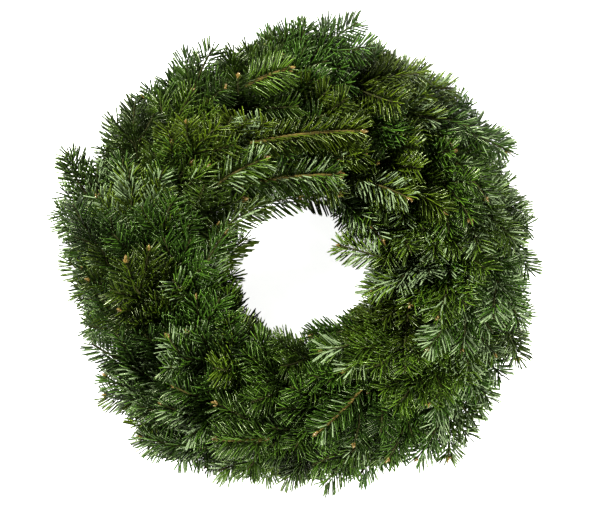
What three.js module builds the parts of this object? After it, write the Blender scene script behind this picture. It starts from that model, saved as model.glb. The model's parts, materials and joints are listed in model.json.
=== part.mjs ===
// A fresh evergreen wreath lying on its back: fir sprays bound with wire round a crimped wire ring.
// Millimetres. +Z is the way the wreath faces, up off the table, and +Y is its top as it would hang.
// Clock angles are in degrees, clockwise from +Y as seen from the front, which is the way the sprays point.
import * as THREE from "three";

const radians = THREE.MathUtils.degToRad;
const vector = (x, y, z) => new THREE.Vector3(x, y, z);
const UP = vector(0, 0, 1);
const REACH = 60; // farther from a needle's tip than any facet that it could meet

// The ring: one crimped steel wire. The low crests of its waves are what the wreath rests on.
const STATIONS = 20; // turns of binding wire, one under each high crest of the ring
const STATION_STEP = 360 / STATIONS; // degrees
const RING_RADIUS = 165;
const RING_WIRE = 1.9; // radius of the ring's wire
const CRIMP = 2.0; // how far the ring waves above and below its mean line
const RING_SIDES = 6;
const RING_STEPS = 4; // straight pieces in a wave
const RING_FLAT = RING_WIRE * Math.cos(Math.PI / RING_SIDES); // from the wire's middle to a flat side
const RING_HEIGHT = CRIMP + RING_FLAT; // the mean line above the table

// The binding wire: one continuous spiral, drawn tight over the stems' butts.
const BINDER_WIRE = 0.6; // radius
const BINDER_SIDES = 3;
const SEAT_GAP = 0.35; // between pieces that touch on the real wreath

// The sprays: a woody stem, side shoots, and needles all round both.
const STEM_BUTT = 2.0; // radius at the cut end
const STEM_TIP = 1.5;
const SHOOT_BASE = 1.5;
const SHOOT_TIP = 1.2;
const BUTT_BACK = 6; // degrees of stem behind the binding wire
const FAN = 0.4; // degrees a tip points away from the ring's line, for each millimetre it lies off it
const CLIMB = 0.5; // how steeply a tip still rises, as a share of its stem's mean rise
const TWIG_SIDES = 3;
const WHORL_TURN = 60; // degrees from one ring of needles to the next
const SHOOT_WHORL = 21; // from one ring of needles to the next on a side shoot
const NEEDLE = 21; // length
const NEEDLE_RADIUS = 1.7; // at the foot
const NEEDLE_BASE = 2.3; // how much of the twig a ring of needles takes up
const NEEDLE_LEAN = 48; // degrees between a needle and its twig
const TIP_LEAN = 28; // the same at the twig's tip, where needles close round the bud
const NEEDLE_ROOM = 0.15; // between a needle and all else
const SHOOT_ROOM = 1.5; // between a side shoot and all other twigs
const SHOOT_SPREAD = 43; // degrees between a side shoot and its stem
const LOWEST = 0.8; // no foliage comes nearer to the table than this

// The opening in the middle that every tip stays out of.
const HOLE = { x: 1, y: -9, half: 43 };

// The marks along a stem, as shares of its length: a plain bend in the bundle, then rings of needles.
const STEM_MARKS = [
  { share: 0.13, plain: true },
  { share: 0.29 },
  { share: 0.42 },
  { share: 0.56 },
  { share: 0.71 },
  { share: 0.87 },
];

// The side shoots: the mark each leaves from, on which side, and its share of the stem's length.
const SIDE_SHOOTS = [
  { mark: 2, side: 1, share: 0.33 },
  { mark: 3, side: -1, share: 0.31 },
  { mark: 4, side: 1, share: 0.23 },
];

// Where a stem lies in the bundle: from the ring's mean line, outwards and upwards, and how many degrees after
// the station the binding wire crosses it. corner is the side that the wire lies on, and face the way the
// spray's flat side looks, both as angles in the ring's cross section, where 0 is outwards and 90 is up.
const LANES = {
  crown: { out: -2.5, up: 6.5, after: 11, corner: 118, face: 94, green: 0x3f5a2c },
  shoulder: { out: 2.5, up: 6.5, after: 7, corner: 62, face: 66, green: 0x35502a },
  outer: { out: 4.4, up: 0.4, after: 3.5, corner: 20, face: 82, green: 0x2c4726 },
  inner: { out: -4.4, up: 0.4, after: 14.5, corner: 160, face: 112, green: 0x2f4a26 },
};

// Every spray: its station, then its tip's clock angle, radius and height.
const SPRAYS = {
  crown: [
    [18, 26, 156, 96],
    [0, 61, 138, 88],
    [1, 77, 190, 94],
    [3, 113, 163, 90],
    [5, 146, 140, 96],
    [6, 173, 184, 90],
    [8, 206, 206, 94],
    [10, 240, 165, 88],
    [12, 270, 186, 96],
    [13, 297, 150, 90],
    [15, 330, 168, 96],
    [17, 357, 202, 90],
  ],
  shoulder: [
    [18, 14, 270, 56],
    [19, 34, 246, 72],
    [0, 52, 238, 60],
    [2, 86, 238, 70],
    [3, 106, 250, 74],
    [6, 156, 238, 70],
    [7, 174, 248, 58],
    [10, 228, 240, 62],
    [11, 248, 244, 72],
    [13, 284, 254, 72],
    [15, 314, 250, 62],
    [16, 338, 250, 72],
  ],
  outer: [
    [18, 2, 258, 28],
    [19, 22, 247, 18],
    [0, 42, 258, 32],
    [1, 61, 264, 24],
    [2, 79, 257, 18],
    [3, 93, 259, 34],
    [4, 112, 264, 24],
    [5, 131, 264, 18],
    [6, 143, 276, 34],
    [7, 165, 253, 22],
    [8, 184, 248, 18],
    [9, 201, 252, 30],
    [10, 219, 269, 20],
    [11, 235, 264, 34],
    [13, 270, 258, 22],
    [14, 293, 280, 32],
    [15, 308, 259, 20],
    [16, 332, 260, 30],
  ],
  inner: [
    [17, 24, 104, 74],
    [19, 48, 86, 24],
    [0, 70, 62, 58],
    [1, 94, 92, 68],
    [3, 118, 84, 38],
    [4, 151, 106, 74],
    [5, 167, 100, 46],
    [7, 196, 88, 66],
    [9, 230, 104, 70],
    [10, 250, 82, 40],
    [11, 272, 90, 62],
    [12, 293, 62, 46],
    [14, 318, 90, 66],
    [15, 341, 112, 80],
    [16, 2, 82, 42],
  ],
};

// A repeatable draw from 0 to 1 for any set of whole numbers.
function draw(...keys) {
  let hash = 2166136261;
  for (const key of keys) {
    hash = Math.imul(hash ^ (key + 1), 16777619);
    hash ^= hash >>> 15;
    hash = Math.imul(hash, 2246822519);
    hash ^= hash >>> 13;
  }
  return (hash >>> 0) / 4294967296;
}

// The directions at a clock angle: outwards from the wreath's axis, and clockwise along the ring.
const outwards = (clock) => vector(Math.sin(radians(clock)), Math.cos(radians(clock)), 0);
const clockwise = (clock) => vector(Math.cos(radians(clock)), -Math.sin(radians(clock)), 0);

// A point by its clock angle and its place in the ring's cross section.
function placeAt(clock, out, up) {
  return outwards(clock)
    .multiplyScalar(RING_RADIUS + out)
    .add(vector(0, 0, RING_HEIGHT + up));
}

const inHole = ({ x, y }) => Math.abs(x - HOLE.x) < HOLE.half && Math.abs(y - HOLE.y) < HOLE.half;

// Two directions square to t, n as near as it can be to the one given, with n, b and t right-handed.
function frameAt(point, t, n) {
  const normal = n.clone().addScaledVector(t, -n.dot(t)).normalize();
  return { point, t, n: normal, b: t.clone().cross(normal) };
}

// Whether an edge of one facet, clear of the corners that both share, goes through the other.
function pierces(facet, other, corners) {
  return facet.some((from, i) => {
    const to = facet[(i + 1) % 3];
    if (other.includes(from) || other.includes(to)) return false;
    const edge = corners[to].clone().sub(corners[from]);
    const ray = new THREE.Ray(corners[from], edge.clone().normalize());
    const hit = ray.intersectTriangle(...other.map((corner) => corners[corner]), false, vector(0, 0, 0));
    return hit !== null && hit.distanceTo(corners[from]) < edge.length();
  });
}

// A closed skin made of rings of vertices, facets and spikes.
class Skin {
  constructor() {
    this.points = [];
    this.facets = [];
  }

  vertex(point) {
    this.points.push(point);
    return this.points.length - 1;
  }

  // A ring of vertices round a frame, counter-clockwise as seen from in front.
  ring(frame, radius, turn, sides) {
    return Array.from({ length: sides }, (_, i) => {
      const angle = radians(turn + (360 * i) / sides);
      return this.vertex(
        frame.point
          .clone()
          .addScaledVector(frame.n, radius * Math.cos(angle))
          .addScaledVector(frame.b, radius * Math.sin(angle)),
      );
    });
  }

  // The facets between two rings, as a list that the caller keeps or opens up.
  wall(a, b) {
    return a.flatMap((_, i) => {
      const next = (i + 1) % a.length;
      return [
        [a[i], a[next], b[next]],
        [a[i], b[next], b[i]],
      ];
    });
  }

  keep(facets) {
    this.facets.push(...facets);
  }

  cap(ring, forward) {
    for (let i = 1; i + 1 < ring.length; i++)
      this.keep([forward ? [ring[0], ring[i], ring[i + 1]] : [ring[0], ring[i + 1], ring[i]]]);
  }

  // The three sides of a spike that takes the place of a facet.
  sidesOf([p, q, r], apex) {
    return [
      [p, q, apex],
      [q, r, apex],
      [r, p, apex],
    ];
  }

  spike(facet, tip) {
    this.keep(this.sidesOf(facet, this.vertex(tip)));
  }

  // Whether a spike on a facet would cut through a facet that is already there.
  cuts(facet, tip) {
    const sides = this.sidesOf(facet, this.points.length);
    const corners = [...this.points, tip];
    const near = this.facets.filter(([corner]) => corners[corner].distanceTo(tip) < REACH);
    return near.some((other) => sides.some((side) => pierces(side, other, corners) || pierces(other, side, corners)));
  }

  middle(facet) {
    return facet.reduce((sum, i) => sum.add(this.points[i]), vector(0, 0, 0)).divideScalar(3);
  }

  geometry() {
    const made = new THREE.BufferGeometry();
    made.setAttribute("position", new THREE.Float32BufferAttribute(this.points.flatMap((p) => p.toArray()), 3));
    made.setIndex(this.facets.flat());
    made.computeVertexNormals();
    return made;
  }
}

// What foliage keeps clear of: straight pieces with a radius at both ends, kept by place in cubes of space.
// startsAt and endsAt name the rings of needles that a piece runs between.
const CUBE = 28;
const ROOT_SHARE = 0.3; // how much of two pieces from one ring of needles is let touch
const ROOT_ROOM = 0.3;
const ROOT_ANGLE = radians(21); // the least angle between them
const taken = new Map();
const cubeOf = (point, x, y, z) =>
  `${Math.floor(point.x / CUBE) + x},${Math.floor(point.y / CUBE) + y},${Math.floor(point.z / CUBE) + z}`;

function straight(from, to, radiusFrom, radiusTo, startsAt = null, endsAt = null) {
  const middle = from.clone().lerp(to, 0.5);
  return { from, to, radiusFrom, radiusTo, startsAt, endsAt, middle, half: from.distanceTo(to) / 2 };
}

// The part of a straight piece between two shares of its length.
function partOf({ from, to, radiusFrom, radiusTo, startsAt, endsAt }, low, high) {
  const [thin, thick] = [low, high].map((share) => THREE.MathUtils.lerp(radiusFrom, radiusTo, share));
  const [near, far] = [low, high].map((share) => from.clone().lerp(to, share));
  return straight(near, far, thin, thick, low === 0 ? startsAt : null, high === 1 ? endsAt : null);
}

function take(piece) {
  const parts = Math.max(1, Math.ceil(piece.half / 10));
  for (let i = 0; i < parts; i++) {
    const part = partOf(piece, i / parts, (i + 1) / parts);
    const key = cubeOf(part.middle, 0, 0, 0);
    if (!taken.has(key)) taken.set(key, []);
    taken.get(key).push(part);
  }
}

// The room between the sides of two straight pieces.
function between(a, b) {
  const u = a.to.clone().sub(a.from);
  const v = b.to.clone().sub(b.from);
  const w = a.from.clone().sub(b.from);
  const [uu, uv, vv, uw, vw] = [u.dot(u), u.dot(v), v.dot(v), u.dot(w), v.dot(w)];
  const slant = uu * vv - uv * uv;
  let s = slant > 1e-9 ? THREE.MathUtils.clamp((uv * vw - vv * uw) / slant, 0, 1) : 0;
  const t = THREE.MathUtils.clamp((uv * s + vw) / vv, 0, 1);
  s = THREE.MathUtils.clamp((uv * t - uw) / uu, 0, 1);
  const thickness =
    THREE.MathUtils.lerp(a.radiusFrom, a.radiusTo, s) + THREE.MathUtils.lerp(b.radiusFrom, b.radiusTo, t);
  return w.addScaledVector(u, s).addScaledVector(v, -t).length() - thickness;
}

// Whether two pieces are far enough apart. Two that leave the same ring of needles are compared past their roots.
function clears(piece, other, enough) {
  const root = piece.startsAt;
  const atStart = other.startsAt === root;
  const atEnd = other.endsAt === root;
  if (!root || !(atStart || atEnd)) return between(piece, other) >= enough;
  if (atStart && atEnd) return true;
  const [ownWay, otherWay] = [piece, other].map(({ from, to }) => to.clone().sub(from));
  if (ownWay.angleTo(atStart ? otherWay : otherWay.negate()) < ROOT_ANGLE) return false;
  const beyond = atStart ? partOf(other, ROOT_SHARE, 1) : partOf(other, 0, 1 - ROOT_SHARE);
  return between(partOf(piece, ROOT_SHARE, 1), beyond) >= ROOT_ROOM;
}

// Whether a new piece has enough room on all sides.
function hasRoom(piece, enough) {
  for (let x = -1; x <= 1; x++)
    for (let y = -1; y <= 1; y++)
      for (let z = -1; z <= 1; z++)
        for (const other of taken.get(cubeOf(piece.middle, x, y, z)) ?? []) {
          if (piece.middle.distanceTo(other.middle) > piece.half + other.half + enough + 4) continue;
          if (!clears(piece, other, enough)) return false;
        }
  return true;
}

// The ring's own line: at each station a flat high crest, and half way to the next a flat low one.
function ringPoint(step) {
  const [share, wave] = [
    [-0.13, 1],
    [0.13, 1],
    [0.37, -1],
    [0.63, -1],
  ][step % RING_STEPS];
  const clock = (Math.floor(step / RING_STEPS) + share) * STATION_STEP;
  return { clock, point: placeAt(clock, 0, CRIMP * wave) };
}

// A closed wire whose sections all stand upright, so that its low crests lie flat.
function ringSkin() {
  const skin = new Skin();
  const steps = STATIONS * RING_STEPS;
  const rings = Array.from({ length: steps }, (_, i) => {
    const { clock, point } = ringPoint(i);
    return skin.ring(frameAt(point, clockwise(clock), UP), RING_WIRE, 180 / RING_SIDES, RING_SIDES);
  });
  rings.forEach((ring, i) => {
    const next = (i + 1) % steps;
    skin.keep(skin.wall(ring, rings[next]));
    take(straight(ringPoint(i).point, ringPoint(next).point, RING_WIRE, RING_WIRE));
  });
  return skin;
}

// Where a stem crosses a clock angle, in the ring's cross section.
function crossing(stem, clock) {
  const ahead = clockwise(clock);
  const piece = piecesOf(stem).find(({ to }) => to.dot(ahead) > 0);
  const [before, after] = [piece.from.dot(ahead), piece.to.dot(ahead)];
  const point = piece.from.clone().lerp(piece.to, -before / (after - before));
  return { out: point.dot(outwards(clock)) - RING_RADIUS, up: point.z - RING_HEIGHT };
}

// The corners of the binding wire's line: round the outside, over the top and down the inside of the stems at
// each station, then straight across under the ring to the next. Each lies off a stem, at an angle in the
// ring's cross section and so many degrees after the station.
const BINDER_CORNERS = [
  { lane: "outer", after: 1.5, angle: -80 },
  { lane: "outer", after: 3.5, angle: 6 },
  { lane: "shoulder", after: 5.6, angle: 18 },
  { lane: "shoulder", after: 7.6, angle: 70 },
  { lane: "crown", after: 10.4, angle: 110 },
  { lane: "crown", after: 12.4, angle: 162 },
  { lane: "inner", after: 14.5, angle: 174 },
  { lane: "inner", after: 16.5, angle: 260 },
];

function binderPoints(stems) {
  const off = STEM_BUTT + SEAT_GAP + BINDER_WIRE * 1.15;
  const points = [];
  for (let station = 0; station < STATIONS; station++) {
    for (const { lane, after, angle } of BINDER_CORNERS) {
      const clock = station * STATION_STEP + after;
      const stem = stems.get(`${lane} ${station}`);
      const at = stem ? crossing(stem, clock) : LANES[lane];
      const [sine, cosine] = [Math.sin(radians(angle)), Math.cos(radians(angle))];
      points.push(placeAt(clock, at.out + off * cosine, at.up + off * sine));
    }
  }
  return points;
}

function binderSkin(stems) {
  const skin = new Skin();
  const points = binderPoints(stems);
  let previous = null;
  let side = UP;
  points.forEach((point, i) => {
    const ahead = points[Math.min(i + 1, points.length - 1)];
    const behind = points[Math.max(i - 1, 0)];
    const frame = frameAt(point, ahead.clone().sub(behind).normalize(), side);
    side = frame.n;
    const ring = skin.ring(frame, BINDER_WIRE, 60, BINDER_SIDES);
    if (previous) skin.keep(skin.wall(previous, ring));
    else skin.cap(ring, false);
    if (i) take(straight(points[i - 1], point, BINDER_WIRE, BINDER_WIRE));
    previous = ring;
  });
  skin.cap(previous, true);
  return skin;
}

// A stem runs along the bundle past its binding, then rises in an easy curve to its tip.
function stemCurve(lane, [station, clock, radius, height]) {
  const { out, up, after } = LANES[lane];
  const bound = station * STATION_STEP + after;
  const butt = placeAt(bound - BUTT_BACK, out, up);
  const tip = outwards(clock).multiplyScalar(radius).add(vector(0, 0, height));
  const reach = butt.distanceTo(tip);
  const start = butt.clone().addScaledVector(clockwise(bound - BUTT_BACK / 2), reach * 0.3);
  const fan = radians(FAN * (radius - RING_RADIUS));
  const heading = clockwise(clock).multiplyScalar(Math.cos(fan)).addScaledVector(outwards(clock), Math.sin(fan));
  heading.addScaledVector(UP, (CLIMB * height) / reach).normalize();
  return new THREE.CubicBezierCurve3(butt, start, tip.clone().addScaledVector(heading, reach * -0.3), tip);
}

// A side shoot leaves its stem on the spray's flat side and curves a little forwards.
function shootCurve(at, side, length, lift) {
  const sideways = at.b.clone().multiplyScalar(side).addScaledVector(at.n, Math.tan(radians(lift)));
  const spread = radians(SHOOT_SPREAD);
  const away = at.t.clone().multiplyScalar(Math.cos(spread));
  away.addScaledVector(sideways.normalize(), Math.sin(spread));
  const middle = at.point.clone().addScaledVector(away, length * 0.55);
  const tip = middle.clone().addScaledVector(away.clone().lerp(at.t, 0.3).normalize(), length * 0.45);
  return new THREE.QuadraticBezierCurve3(at.point, middle, tip);
}

// A twig: a curve with a frame at each of its marks, which are the shares of its length where its skin has a
// ring of vertices (plain) or a ring of needles. n of each frame points out of the spray's flat side.
function twigOn(curve, normal, marks, radii, name, root = null) {
  const length = curve.getLength();
  const frameOn = (share, n) => frameAt(curve.getPointAt(share), curve.getTangentAt(share), n);
  let frame = frameOn(0, normal);
  const rings = marks.map(({ share, plain }) => {
    frame = frameOn(share, frame.n);
    const past = plain ? frame : frameOn(Math.min(1, share + NEEDLE_BASE / length), frame.n);
    return { share, plain, near: frame, far: past, radius: THREE.MathUtils.lerp(...radii, share), shoot: null };
  });
  const tip = frameOn(1, frame.n);
  return { length, radii, rings, tip, start: curve.getPointAt(0), name, root };
}

// The straight pieces that a twig's skin is made of.
function piecesOf(twig) {
  const pieces = [];
  let [from, radius, startsAt] = [twig.start, twig.radii[0], twig.root];
  twig.rings.forEach((ring, i) => {
    const own = ring.plain ? null : `${twig.name} ${i}`;
    pieces.push(straight(from, ring.near.point, radius, ring.radius, startsAt, own));
    if (own) pieces.push(straight(ring.near.point, ring.far.point, ring.radius, ring.radius, own, own));
    [from, radius, startsAt] = [ring.far.point, ring.radius, own];
  });
  pieces.push(straight(from, twig.tip.point, radius, twig.radii[1], startsAt));
  return pieces;
}

// Whether a side shoot's tip would stand out past its stem's, over the rim or into the hole.
function strays(tip, stem) {
  const [radius, limit] = [tip, stem.tip.point].map(({ x, y }) => Math.hypot(x, y));
  return radius > Math.max(RING_RADIUS + 45, limit - 3) || radius < Math.min(RING_RADIUS - 75, limit);
}

// A side shoot that clears everything, tried at several lifts and lengths, or null.
function shootFrom(stem, { mark, side, share }, name) {
  const ring = stem.rings[mark];
  const root = `${stem.name} ${mark}`;
  for (const shorter of [1, 0.86, 0.72, 0.58])
    for (const lift of [0, 12, -12, 24, -24, 36, -36]) {
      const length = stem.length * share * shorter;
      const whorls = Math.max(1, Math.round((length - 12) / SHOOT_WHORL));
      const marks = Array.from({ length: whorls }, (_, i) => ({ share: (i + 0.72) / (whorls + 0.12) }));
      const curve = shootCurve(ring.near, side, length, lift);
      const shoot = twigOn(curve, ring.near.n, marks, [SHOOT_BASE, SHOOT_TIP], name, root);
      const pieces = piecesOf(shoot);
      if (pieces.some(({ to }) => to.z < LOWEST + SHOOT_BASE + 1.5) || strays(shoot.tip.point, stem)) continue;
      if (pieces.every((piece) => hasRoom(piece, SHOOT_ROOM))) return shoot;
    }
  return null;
}

// Every facet that may become a needle, in the order they are asked in.
const buds = [];

// The way a side shoot leaves its ring.
const aimOf = ({ shoot, near }) => shoot.rings[0].near.point.clone().sub(near.point).normalize();

// How far round the next ring of vertices is turned. Where a side shoot leaves, a flat side faces it.
function nextTurn(ring, turn) {
  const turned = turn - WHORL_TURN;
  if (!ring.shoot) return turned;
  const aim = aimOf(ring);
  const facing = THREE.MathUtils.radToDeg(Math.atan2(aim.dot(ring.near.b), aim.dot(ring.near.n)));
  const side = 360 / TWIG_SIDES;
  return turned + THREE.MathUtils.euclideanModulo(facing - turned, side) - side / 2;
}

// The skin of a twig from its first ring of vertices on.
function growSkin(skin, first, turn, twig) {
  let previous = first;
  let angle = turn;
  twig.rings.forEach((ring, i) => {
    if (!ring.plain) angle = nextTurn(ring, angle);
    const near = skin.ring(ring.near, ring.radius, angle, TWIG_SIDES);
    skin.keep(skin.wall(previous, near));
    previous = near;
    if (ring.plain) return;
    previous = skin.ring(ring.far, ring.radius, angle, TWIG_SIDES);
    const facets = skin.wall(near, previous);
    if (ring.shoot) {
      const aim = aimOf(ring);
      const facing = facets.map((facet) => skin.middle(facet).sub(ring.near.point).dot(aim));
      const [open] = facets.splice(facing.indexOf(Math.max(...facing)), 1);
      alignTwig(ring.shoot, skin.points[open[0]].clone().sub(skin.middle(open)));
      growSkin(skin, open, 0, ring.shoot);
    }
    const lean = i === twig.rings.length - 1 ? TIP_LEAN : NEEDLE_LEAN;
    for (const facet of facets) buds.push({ skin, facet, frame: ring.near, lean, root: `${twig.name} ${i}` });
  });
  const tip = skin.ring(twig.tip, twig.radii[1], angle, TWIG_SIDES);
  skin.keep(skin.wall(previous, tip));
  skin.cap(tip, true);
}

// Turns a twig's frames about its length so that n starts nearest to a direction.
function alignTwig(twig, direction) {
  let n = direction;
  for (const ring of twig.rings) {
    Object.assign(ring.near, frameAt(ring.near.point, ring.near.t, n));
    n = ring.near.n;
    Object.assign(ring.far, frameAt(ring.far.point, ring.far.t, n));
  }
  Object.assign(twig.tip, frameAt(twig.tip.point, twig.tip.t, n));
}

// A needle on a facet, bent, leaned or cut shorter until it clears everything; else the facet stays bare.
function growNeedle({ skin, facet, frame, lean, root }, index) {
  const base = skin.middle(facet);
  const away = base.clone().sub(frame.point);
  const middle = Math.atan2(away.dot(frame.b), away.dot(frame.n)) + radians(10 * (draw(index, 1) - 0.5));
  const full = NEEDLE * (0.94 + 0.1 * draw(index, 2));
  for (const shorter of [1, 0.84, 0.68])
    for (const leanBy of [0, -9, 10, -18])
      for (const swing of [0, 11, -11, 20, -20]) {
        const [angle, tilt] = [middle + radians(swing), radians(lean + leanBy + 6 * (draw(index, 3) - 0.5))];
        const aim = frame.t.clone().multiplyScalar(Math.cos(tilt));
        aim.addScaledVector(frame.n, Math.sin(tilt) * Math.cos(angle));
        aim.addScaledVector(frame.b, Math.sin(tilt) * Math.sin(angle));
        const tip = base.clone().addScaledVector(aim, full * shorter);
        if (tip.z < LOWEST || inHole(tip)) continue;
        const needle = straight(base, tip, NEEDLE_RADIUS, 0, root);
        if (!hasRoom(needle, NEEDLE_ROOM) || skin.cuts(facet, tip)) continue;
        take(needle);
        skin.spike(facet, tip);
        return;
      }
  skin.keep([facet]);
}

// All the sprays: stems first, then side shoots, then skins, then needles, so that each clears the last.
function growSprays() {
  const sprays = Object.entries(SPRAYS).flatMap(([lane, rows]) =>
    rows.map((row, i) => ({ lane, row, name: `${lane}_spray_${String(i + 1).padStart(2, "0")}` })),
  );
  const stems = new Map();
  for (const spray of sprays) {
    const curve = stemCurve(spray.lane, spray.row);
    const bound = spray.row[0] * STATION_STEP + LANES[spray.lane].after;
    const normal = outwards(bound).applyAxisAngle(clockwise(bound), radians(LANES[spray.lane].face));
    spray.stem = twigOn(curve, normal, STEM_MARKS, [STEM_BUTT, STEM_TIP], spray.name);
    stems.set(`${spray.lane} ${spray.row[0]}`, spray.stem);
    piecesOf(spray.stem).forEach(take);
  }
  return { sprays, stems };
}

function growFoliage(sprays) {
  sprays.forEach(({ stem }, i) => {
    for (const { mark, side, share } of SIDE_SHOOTS) {
      const fork = { mark, side: i % 2 ? side : -side, share };
      const shoot = shootFrom(stem, fork, `${stem.name} shoot ${mark}`);
      if (!shoot) continue;
      piecesOf(shoot).forEach(take);
      stem.rings[mark].shoot = shoot;
    }
  });
  for (const spray of sprays) {
    spray.skin = new Skin();
    const { stem, lane } = spray;
    const butt = frameAt(stem.start, stem.rings[0].near.t, stem.rings[0].near.n);
    const turn = LANES[lane].corner - LANES[lane].face;
    const first = spray.skin.ring(butt, STEM_BUTT, turn, TWIG_SIDES);
    spray.skin.cap(first, false);
    growSkin(spray.skin, first, turn, stem);
  }
  buds.forEach(growNeedle);
}

function mesh(name, skin, color, roughness, metalness) {
  const made = new THREE.Mesh(skin.geometry(), new THREE.MeshStandardMaterial({ color, roughness, metalness }));
  made.name = name;
  return made;
}

function makeWreath() {
  const wreath = new THREE.Group();
  wreath.name = "evergreen_wreath";
  const { sprays, stems } = growSprays();
  wreath.add(mesh("wire_ring", ringSkin(), 0x4f5450, 0.45, 0.9));
  wreath.add(mesh("binding_wire", binderSkin(stems), 0x3c5a3a, 0.5, 0.6));
  growFoliage(sprays);
  for (const { name, lane, skin } of sprays) wreath.add(mesh(name, skin, LANES[lane].green, 0.6, 0));
  const box = new THREE.Box3().setFromObject(wreath);
  const middle = box.getCenter(vector(0, 0, 0));
  wreath.children.forEach((child) => child.geometry.translate(-middle.x, -middle.y, -box.min.z));
  return wreath;
}

export default makeWreath();
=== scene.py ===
# %% [markdown]
# # A fresh fir wreath
# A florist makes this wreath flat on a table. A crimped wire ring comes first. Small sprays of fir are laid
# on it, each over the butts of the one before, and one long thin wire binds them on. It is seen from
# straight above. The CAD model is the fixed frame and gives the ring, the binding and the stem of every
# spray. This script keeps their form, and adds what a plain solid lacks: every needle, the bark, the buds
# and the finishes.

# %% Load the frame
import json
import math
import random

import bpy
import numpy as np
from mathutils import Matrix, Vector

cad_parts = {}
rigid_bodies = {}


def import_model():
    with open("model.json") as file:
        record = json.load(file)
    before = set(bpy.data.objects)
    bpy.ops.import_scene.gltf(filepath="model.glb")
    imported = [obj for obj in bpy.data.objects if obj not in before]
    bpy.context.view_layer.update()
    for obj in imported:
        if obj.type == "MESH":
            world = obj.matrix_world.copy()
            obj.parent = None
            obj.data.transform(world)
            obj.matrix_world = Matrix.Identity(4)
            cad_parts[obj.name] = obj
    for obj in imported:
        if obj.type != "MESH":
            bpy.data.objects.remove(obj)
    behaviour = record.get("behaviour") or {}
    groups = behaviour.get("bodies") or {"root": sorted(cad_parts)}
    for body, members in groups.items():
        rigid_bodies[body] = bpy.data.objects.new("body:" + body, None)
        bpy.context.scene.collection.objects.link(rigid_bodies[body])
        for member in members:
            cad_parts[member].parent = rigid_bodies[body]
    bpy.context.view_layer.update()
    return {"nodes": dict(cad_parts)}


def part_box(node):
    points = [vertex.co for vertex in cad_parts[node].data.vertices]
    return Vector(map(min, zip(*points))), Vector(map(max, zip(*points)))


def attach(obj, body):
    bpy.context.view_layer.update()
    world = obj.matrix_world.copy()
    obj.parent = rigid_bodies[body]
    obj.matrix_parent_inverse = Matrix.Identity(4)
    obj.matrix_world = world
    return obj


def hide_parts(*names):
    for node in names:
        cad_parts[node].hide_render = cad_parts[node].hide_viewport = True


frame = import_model()
MM = 0.001
ring_low, ring_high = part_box("wire_ring")
RING_CENTRE = (ring_low + ring_high) / 2 / MM
RING_RADIUS, RING_HEIGHT = 165.0, 3.6454  # to the middle of its wire
print("ring centre in mm:", [round(c, 2) for c in RING_CENTRE], "CAD nodes:", len(frame["nodes"]))

# %% [markdown]
# ## Where the sprays go
# Every spray is told by five things: the lane of the bundle it lies in, the binding station where it is
# tied, and its tip's clock angle, distance from the wreath's axis and height. The last six numbers of a row
# say how much each of its three side shoots is shortened and lifted out of the flat. Angles are in degrees
# and lengths in millimetres here, because a maker thinks in them; they become metres when a mesh is made.

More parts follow.
